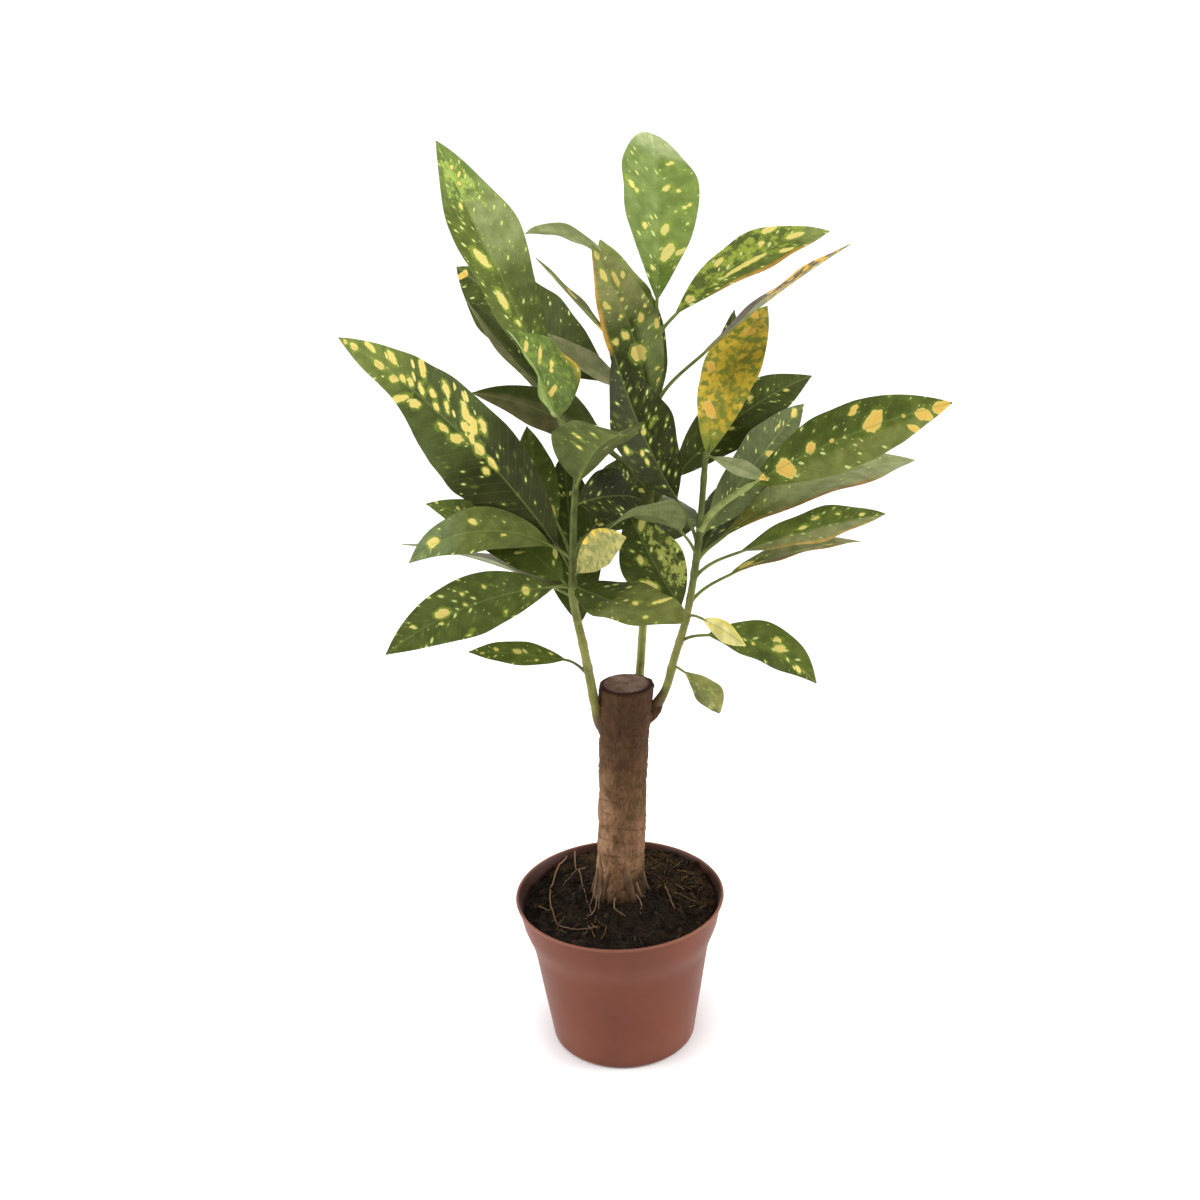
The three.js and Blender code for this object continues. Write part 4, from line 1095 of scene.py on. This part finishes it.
def blade_mesh(leaf, stem, phase, number):
    """Points, faces and what the leaf material reads at every point, for one blade of two skins."""
    steps = max(22, round(leaf["long"] / BLADE_STEP))
    share = np.arange(steps + 1) / steps
    centre = blade_spine(leaf, stem, steps)[:, None, :]
    right, face = (side[:, None, :] for side in leaf_frame(leaf, share)[1:])
    out = np.array(ACROSS, float)[None, :]
    u = share[:, None] + 0 * out
    ragged = np.array([[noise.noise(Vector((s * leaf["long"] / MARGIN_NOTCH, number * 3.1, side)))
                        for side in (0, 5)] for s in share])
    ragged = np.where(out < 0, ragged[:, :1], ragged[:, 1:]) * np.sin(np.pi * u) * MARGIN_RAGGED * np.abs(out)
    at, reach, side, narrowed = leaf["pinch"]
    pinched = narrowed * np.exp(-((u - at) / reach) ** 2) * np.clip(4 * side * out, 0, 1)
    half = half_width(leaf, share)[:, None] * (1 + ragged) * (1 - pinched)
    fold = math.radians(leaf["fold"])
    along = u * leaf["long"]
    across = out * half
    lift = half * math.tan(fold) * (np.abs(out) - CURL * out ** 2)
    wave = 2 * WAVE * half * np.sin(2 * np.pi * WAVES * u + phase + np.where(out > 0, 0, 2)) * out ** 2
    vein = np.cos(2 * np.pi * (along - VEIN_LEAN * np.abs(across)) / VEIN_SPACING)
    fading = np.clip(np.abs(across) / 4, 0, 1) * (1 - out ** 4) * np.sin(np.pi * np.clip(u, 0.02, 0.98))
    quilt = QUILT_DEPTH * vein * fading
    rib = np.exp(-(across / RIB_WIDTH) ** 2)
    skin = BLADE_THICKNESS / 2 * (1 - 0.4 * out ** 2)
    base = centre + right * (across * math.cos(fold))[..., None] + face * (lift + wave - quilt)[..., None]
    upper = base + face * (skin - RIB_GROOVE * rib)[..., None]
    lower = base - face * (skin + (0.2 + 0.6 * (1 - u)) * rib)[..., None]

    spot = np.zeros_like(along)
    for at, aside, length, width in leaf["spots"]:
        wide = aside * half_width(leaf, np.array([at]))[0]
        lean = VEIN_LEAN * min(1.0, abs(wide) / 4)
        tilt = along - at * leaf["long"] - lean * (np.abs(across) - abs(wide))
        spot = np.maximum(spot, 1 - np.hypot(tilt / length, (across - wide) / width) / BLOTCH_SHRINK)
    inside = between(u, out, leaf["area"])
    tone = np.array(linear(TONES.get(leaf["tone"], leaf["tone"]))) + np.zeros((*u.shape, 4))
    # Washes of the leaf's own colour, and grey-green painted sheen
    for *area, wash in leaf["washes"]:
        tone = blended(tone, wash, between(u, out, area)[..., None])
    pale = blended(tone, UNDERSIDE, leaf["under"])
    amount, patch = leaf["mottle"]

    def both(above, below):
        """What is kept on the upper face and then on the lower one."""
        return np.vstack([kept.reshape(-1, kept.shape[-1]) for kept in (above, below)])

    def stacked(*columns):
        return np.stack([column + 0 * u for column in columns], -1)

    place = stacked(across, along, number * 13.7)
    marks = stacked(leaf["dots"], leaf["streaks"] * inside, np.clip(spot, 0, 1), leaf["gold"])
    mottle = stacked(*linear(patch)[:3], amount * inside)
    return both(upper, lower), skin_faces(steps, len(ACROSS)), dict(
        blade=both(place, place), marks=both(marks, marks * (0.7, 0.7, 0.85, 0.6)), tone=both(tone, pale),
        mottle=both(mottle, mottle * (1, 1, 1, 0.8)))


def leaf_material():
    """A waxy green skin with dots, streaks and blotches that the plant lays down along its side veins."""
    finish = Finish("croton leaf")
    blade, tone = finish.kept("blade", "Vector"), finish.kept("tone", "Color")
    patch, amount = finish.kept("mottle", "Color"), finish.kept("mottle", "Alpha")
    gold = finish.kept("marks", "Alpha")
    dots, streaks, spot = finish.parts(finish.kept("marks", "Color"))
    aside, along, number = finish.parts(blade)
    across = aside.worked("ABSOLUTE")
    slant = along - across * VEIN_LEAN
    wobble = finish.clouds(0.35, place=blade)
    fine = finish.clouds(1.6, place=blade)

    def scattered(scale_across, scale_along, share, size, soft):
        """Marks in cells that follow the side veins, in as many cells as the share says."""
        along_veins = finish.node("ShaderNodeCombineXYZ", {0: aside * scale_across, 1: slant * scale_along,
                                                           2: number})
        cells = finish.node("ShaderNodeTexVoronoi", {"Vector": along_veins, "Scale": 1.0, "Randomness": 0.95})
        draw, drawn_size, _ = finish.parts(cells.outputs["Color"])
        ragged = wobble * 0.2 + cells.outputs["Distance"]
        edge = (drawn_size + 0.45) * size - (ragged - 0.1)
        return (draw < share) * edge.step(-soft, soft)

    small = scattered(0.2, 0.24, dots, 0.18, 0.09)
    ringed = scattered(0.2, 0.24, dots, 0.27, 0.2)
    tiny = scattered(0.4, 0.46, dots * 0.45, 0.19, 0.12)
    small = small.worked("MAXIMUM", tiny * 0.7)
    long = scattered(0.16, 0.24, streaks, 0.4, 0.08) * across.step(0.6, 1.8)
    raised = spot + wobble * 0.5
    halo = (raised.step(0.3, 0.55) * spot.step(0.02, 0.2)).worked("MAXIMUM", ringed * 0.6)
    big = long.worked("MAXIMUM", raised.step(0.55, 0.72))
    heart = (raised.step(0.62, 0.85) * 0.6 + 0.4) * gold
    depth = amount * 0.42 + 0.29 - finish.clouds(1.0, 5, 0.62, (0.24, 0.2, 1), blade)
    mottled = depth.step(-0.06, 0.06) * amount.step(0.02, 0.15)
    from_vein = (slant.worked("DIVIDE", VEIN_SPACING).worked("FRACT") - 0.5).worked("ABSOLUTE")
    side_vein = from_vein.step(0.42, 0.5)
    light = finish.times(tone, 1.5, 1.4, 1.42)
    body = finish.mix(finish.clouds(0.13, place=blade).step(0.32, 0.68),
                      finish.times(tone, 0.98, 0.95, 0.84), light)
    body = finish.laid_over(
        body, (fine.step(0.5, 0.7) * 0.12, light), (side_vein * 0.1, VEIN_GREEN), (mottled, patch),
        (halo * (gold * -0.9 + 0.9), FRINGE_GREEN), (small.step(0.35, 1.0), DOT_LEMON),
        (big.step(0.2, 0.9), finish.mix(heart, BLOTCH_LEMON, BLOTCH_GOLD)),
        (across.step(0.7, 0.3) * 0.3, VEIN_GREEN))
    return finish.done(body, fine * 0.15 + 0.4, 0.1, fine * 0.35 + side_vein * -0.6, 0.3, 0.8)


def stem_run(side, leaves):
    """The stem, swollen at its foot and at every leaf, barked low down and darker towards its tip."""
    stem = STEMS[side]
    foot, tip = stem[0][2], stem[-1][2]
    run = []
    for step in range(STEM_STEPS + 1):
        share = step / STEM_STEPS
        height = foot + (tip - foot) * share
        radius = STEM_FOOT_RADIUS[side] + (STEM_TIP_RADIUS - STEM_FOOT_RADIUS[side]) * share
        nodes = sum(math.exp(-((height - leaf["at"] + 3) / 1.6) ** 2) for leaf in leaves)
        swollen = 0.3 * math.exp(-((height - foot - 12) / 6) ** 2)
        radius *= 1 + swollen + 0.14 * min(1, nodes) + 0.05 * noise.noise(Vector((height / 6, foot, 0)))
        woody = smoothstep(height, foot + STEM_BARK[side] + 10, foot + STEM_BARK[side] - 4)
        green = blended(np.array(linear(STEM_GREEN)), STEM_DARK, smoothstep(share, 0.35, 0.7))
        run.append((stem_centre(stem, height), radius, blended(green, STEM_WOODY, woody)))
    return run


def petiole_run(leaf, stem):
    """A leaf's stalk, out of the stem on a smooth curve and on under the foot of the blade."""
    foot, tip = stem[0][2], stem[-1][2]
    start = stem_centre(stem, max(foot, leaf["at"] - leaf["drop"]))
    up = stem_centre(stem, min(tip, leaf["at"] + 2)) - stem_centre(stem, leaf["at"] - 2)
    up /= np.linalg.norm(up)
    frames = [leaf_frame(leaf, np.array([s])) for s in (0, 0.1)]
    spine = blade_spine(leaf, stem, 10)
    along = frames[0][0][0]
    end = spine[0]
    reach = np.linalg.norm(end - start)
    heading = up + 0.6 * along
    heading /= np.linalg.norm(heading)
    first, second = start + heading * reach * 0.4, end - along * reach * 0.3
    slim = leaf["thick"] or 0.62 + 0.36 * min(1, leaf["long"] / 110)
    tone = np.array(linear(leaf["petiole"])) * (0.85 + 0.2 * math.sin(leaf["at"] * 3))
    run = []
    for step in range(PETIOLE_STEPS + 1):
        t = step / PETIOLE_STEPS
        place = ((1 - t) ** 3 * start + 3 * (1 - t) ** 2 * t * first
                 + 3 * (1 - t) * t ** 2 * second + t ** 3 * end)
        joint = 1.25 - 0.3 * math.sin(math.pi * min(1, t * 1.1) / 2)
        run.append((place - frames[0][2][0] * 0.3 * t, slim * joint, tone))
    return run + [(spine[1] - frames[1][2][0] * 0.35, 0.4, tone)]


def wave_phases(count):
    """The same seeded draws as the part's, so that the margins wave in the same places."""
    state = WAVE_SEED
    phases = []
    for _ in range(count):
        state = (state * 1664525 + 1013904223) % 2 ** 32
        phases.append(2 * math.pi * state / 2 ** 32)
    return phases


leaf_skin = leaf_material()
green_stem = fibre_material("green stem", 0.55)
numbered = 0
for side, stem in STEMS.items():
    leaves = [read_leaf(row) for row in LEAVES[side]]
    points, faces, kept = [], [], {}
    for leaf, phase in zip(leaves, wave_phases(len(leaves))):
        numbered += 1
        blade_points, blade_faces, blade_kept = blade_mesh(leaf, stem, phase, numbered)
        faces += [tuple(corner + len(points) for corner in face) for face in blade_faces]
        points += blade_points.tolist()
        for name, values in blade_kept.items():
            kept.setdefault(name, []).extend(values)
    blades = piece_of("leaf_blades_" + side, points, faces, leaf_skin, **kept)
    smoothed(blades, 60)
    runs = [stem_run(side, leaves)] + [petiole_run(leaf, stem) for leaf in leaves]
    stems = tubes_of("stem_and_petioles_" + side, runs, green_stem, 12)
    for piece in (blades, stems):
        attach(piece, "root")
    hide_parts("leafy_shoot_" + side)


# Setting: a seamless white sweep of paper in a white room, with a soft round lamp at each side, one
# above and a weak one in front. The paper glows a little, so that it comes out white, but less under
# and close beside the pot, so that the pot's soft shadow shows.
SWEEP_WIDTH = 8.0
SWEEP_FRONT = -4.0
SWEEP_BACK = 2.2
SWEEP_CURVE = 1.2
SWEEP_TOP = 4.0
PAPER = (248, 248, 248)
PAPER_BRIGHT = (252, 252, 252)
PAPER_GLOW = 0.26
# Millimetres from the middle of the pot's foot at which the paper starts to glow, and glows in full
GLOW_REACH = (34, 64)
ROOM_LIGHT = 0.25

# Each lamp: its place, the height that it is aimed at, its width and its power
LAMPS = {
    "left": ((-1.5, -0.1, 0.7), 0.25, 1.2, 22),
    "right": ((1.5, -0.1, 0.7), 0.25, 1.2, 22),
    "top": ((0.0, -0.3, 1.9), 0.3, 1.4, 19),
    "front": ((0.0, -1.7, 1.3), 0.35, 1.0, 3),
}


def paper_material():
    finish = Finish("white paper")
    tint = finish.mix(finish.clouds(3, 2), PAPER, PAPER_BRIGHT)
    distance = Value(finish.node("ShaderNodeVectorMath", {0: finish.place},
                                 operation="LENGTH").outputs["Value"])
    for name, value in (("Base Color", tint), ("Roughness", 0.9), ("Specular IOR Level", 0.2),
                        ("Emission Color", (1, 1, 1, 1)),
                        ("Emission Strength", distance.step_mm(*GLOW_REACH) * PAPER_GLOW)):
        fill(finish.tree, finish.shader.inputs[name], value)
    return finish.material


def paper_sweep():
    """Flat on the floor, then curved up behind the plant."""
    run = [(SWEEP_FRONT, 0.0), (0.0, 0.0), (SWEEP_BACK - SWEEP_CURVE, 0.0)]
    for step in range(1, 13):
        angle = math.radians(90 * step / 12)
        run.append((SWEEP_BACK - SWEEP_CURVE * (1 - math.sin(angle)), SWEEP_CURVE * (1 - math.cos(angle))))
    run.append((SWEEP_BACK, SWEEP_TOP))
    points = [(x / MM, y / MM, z / MM) for y, z in run for x in (-SWEEP_WIDTH / 2, SWEEP_WIDTH / 2)]
    faces = [(2 * at, 2 * at + 1, 2 * at + 3, 2 * at + 2) for at in range(len(run) - 1)]
    sweep = piece_of("paper_sweep", points, faces, paper_material())
    sweep.data.shade_smooth()
    return sweep


def soft_light(name, place, aim, size, power):
    light = linked(name, bpy.data.lights.new(name, "AREA"))
    light.data.shape = "DISK"
    light.data.size = size
    light.data.energy = power
    light.location = place
    light.rotation_euler = (Vector((0, 0, aim)) - Vector(place)).to_track_quat("-Z", "Y").to_euler()


paper_sweep()
for name, lamp in LAMPS.items():
    soft_light(name, *lamp)
room = bpy.data.worlds.new("white room")
room.use_nodes = True
room.node_tree.nodes["Background"].inputs["Color"].default_value = (1, 1, 1, 1)
room.node_tree.nodes["Background"].inputs["Strength"].default_value = ROOM_LIGHT
bpy.context.scene.world = room
bpy.context.scene.view_settings.view_transform = "Standard"
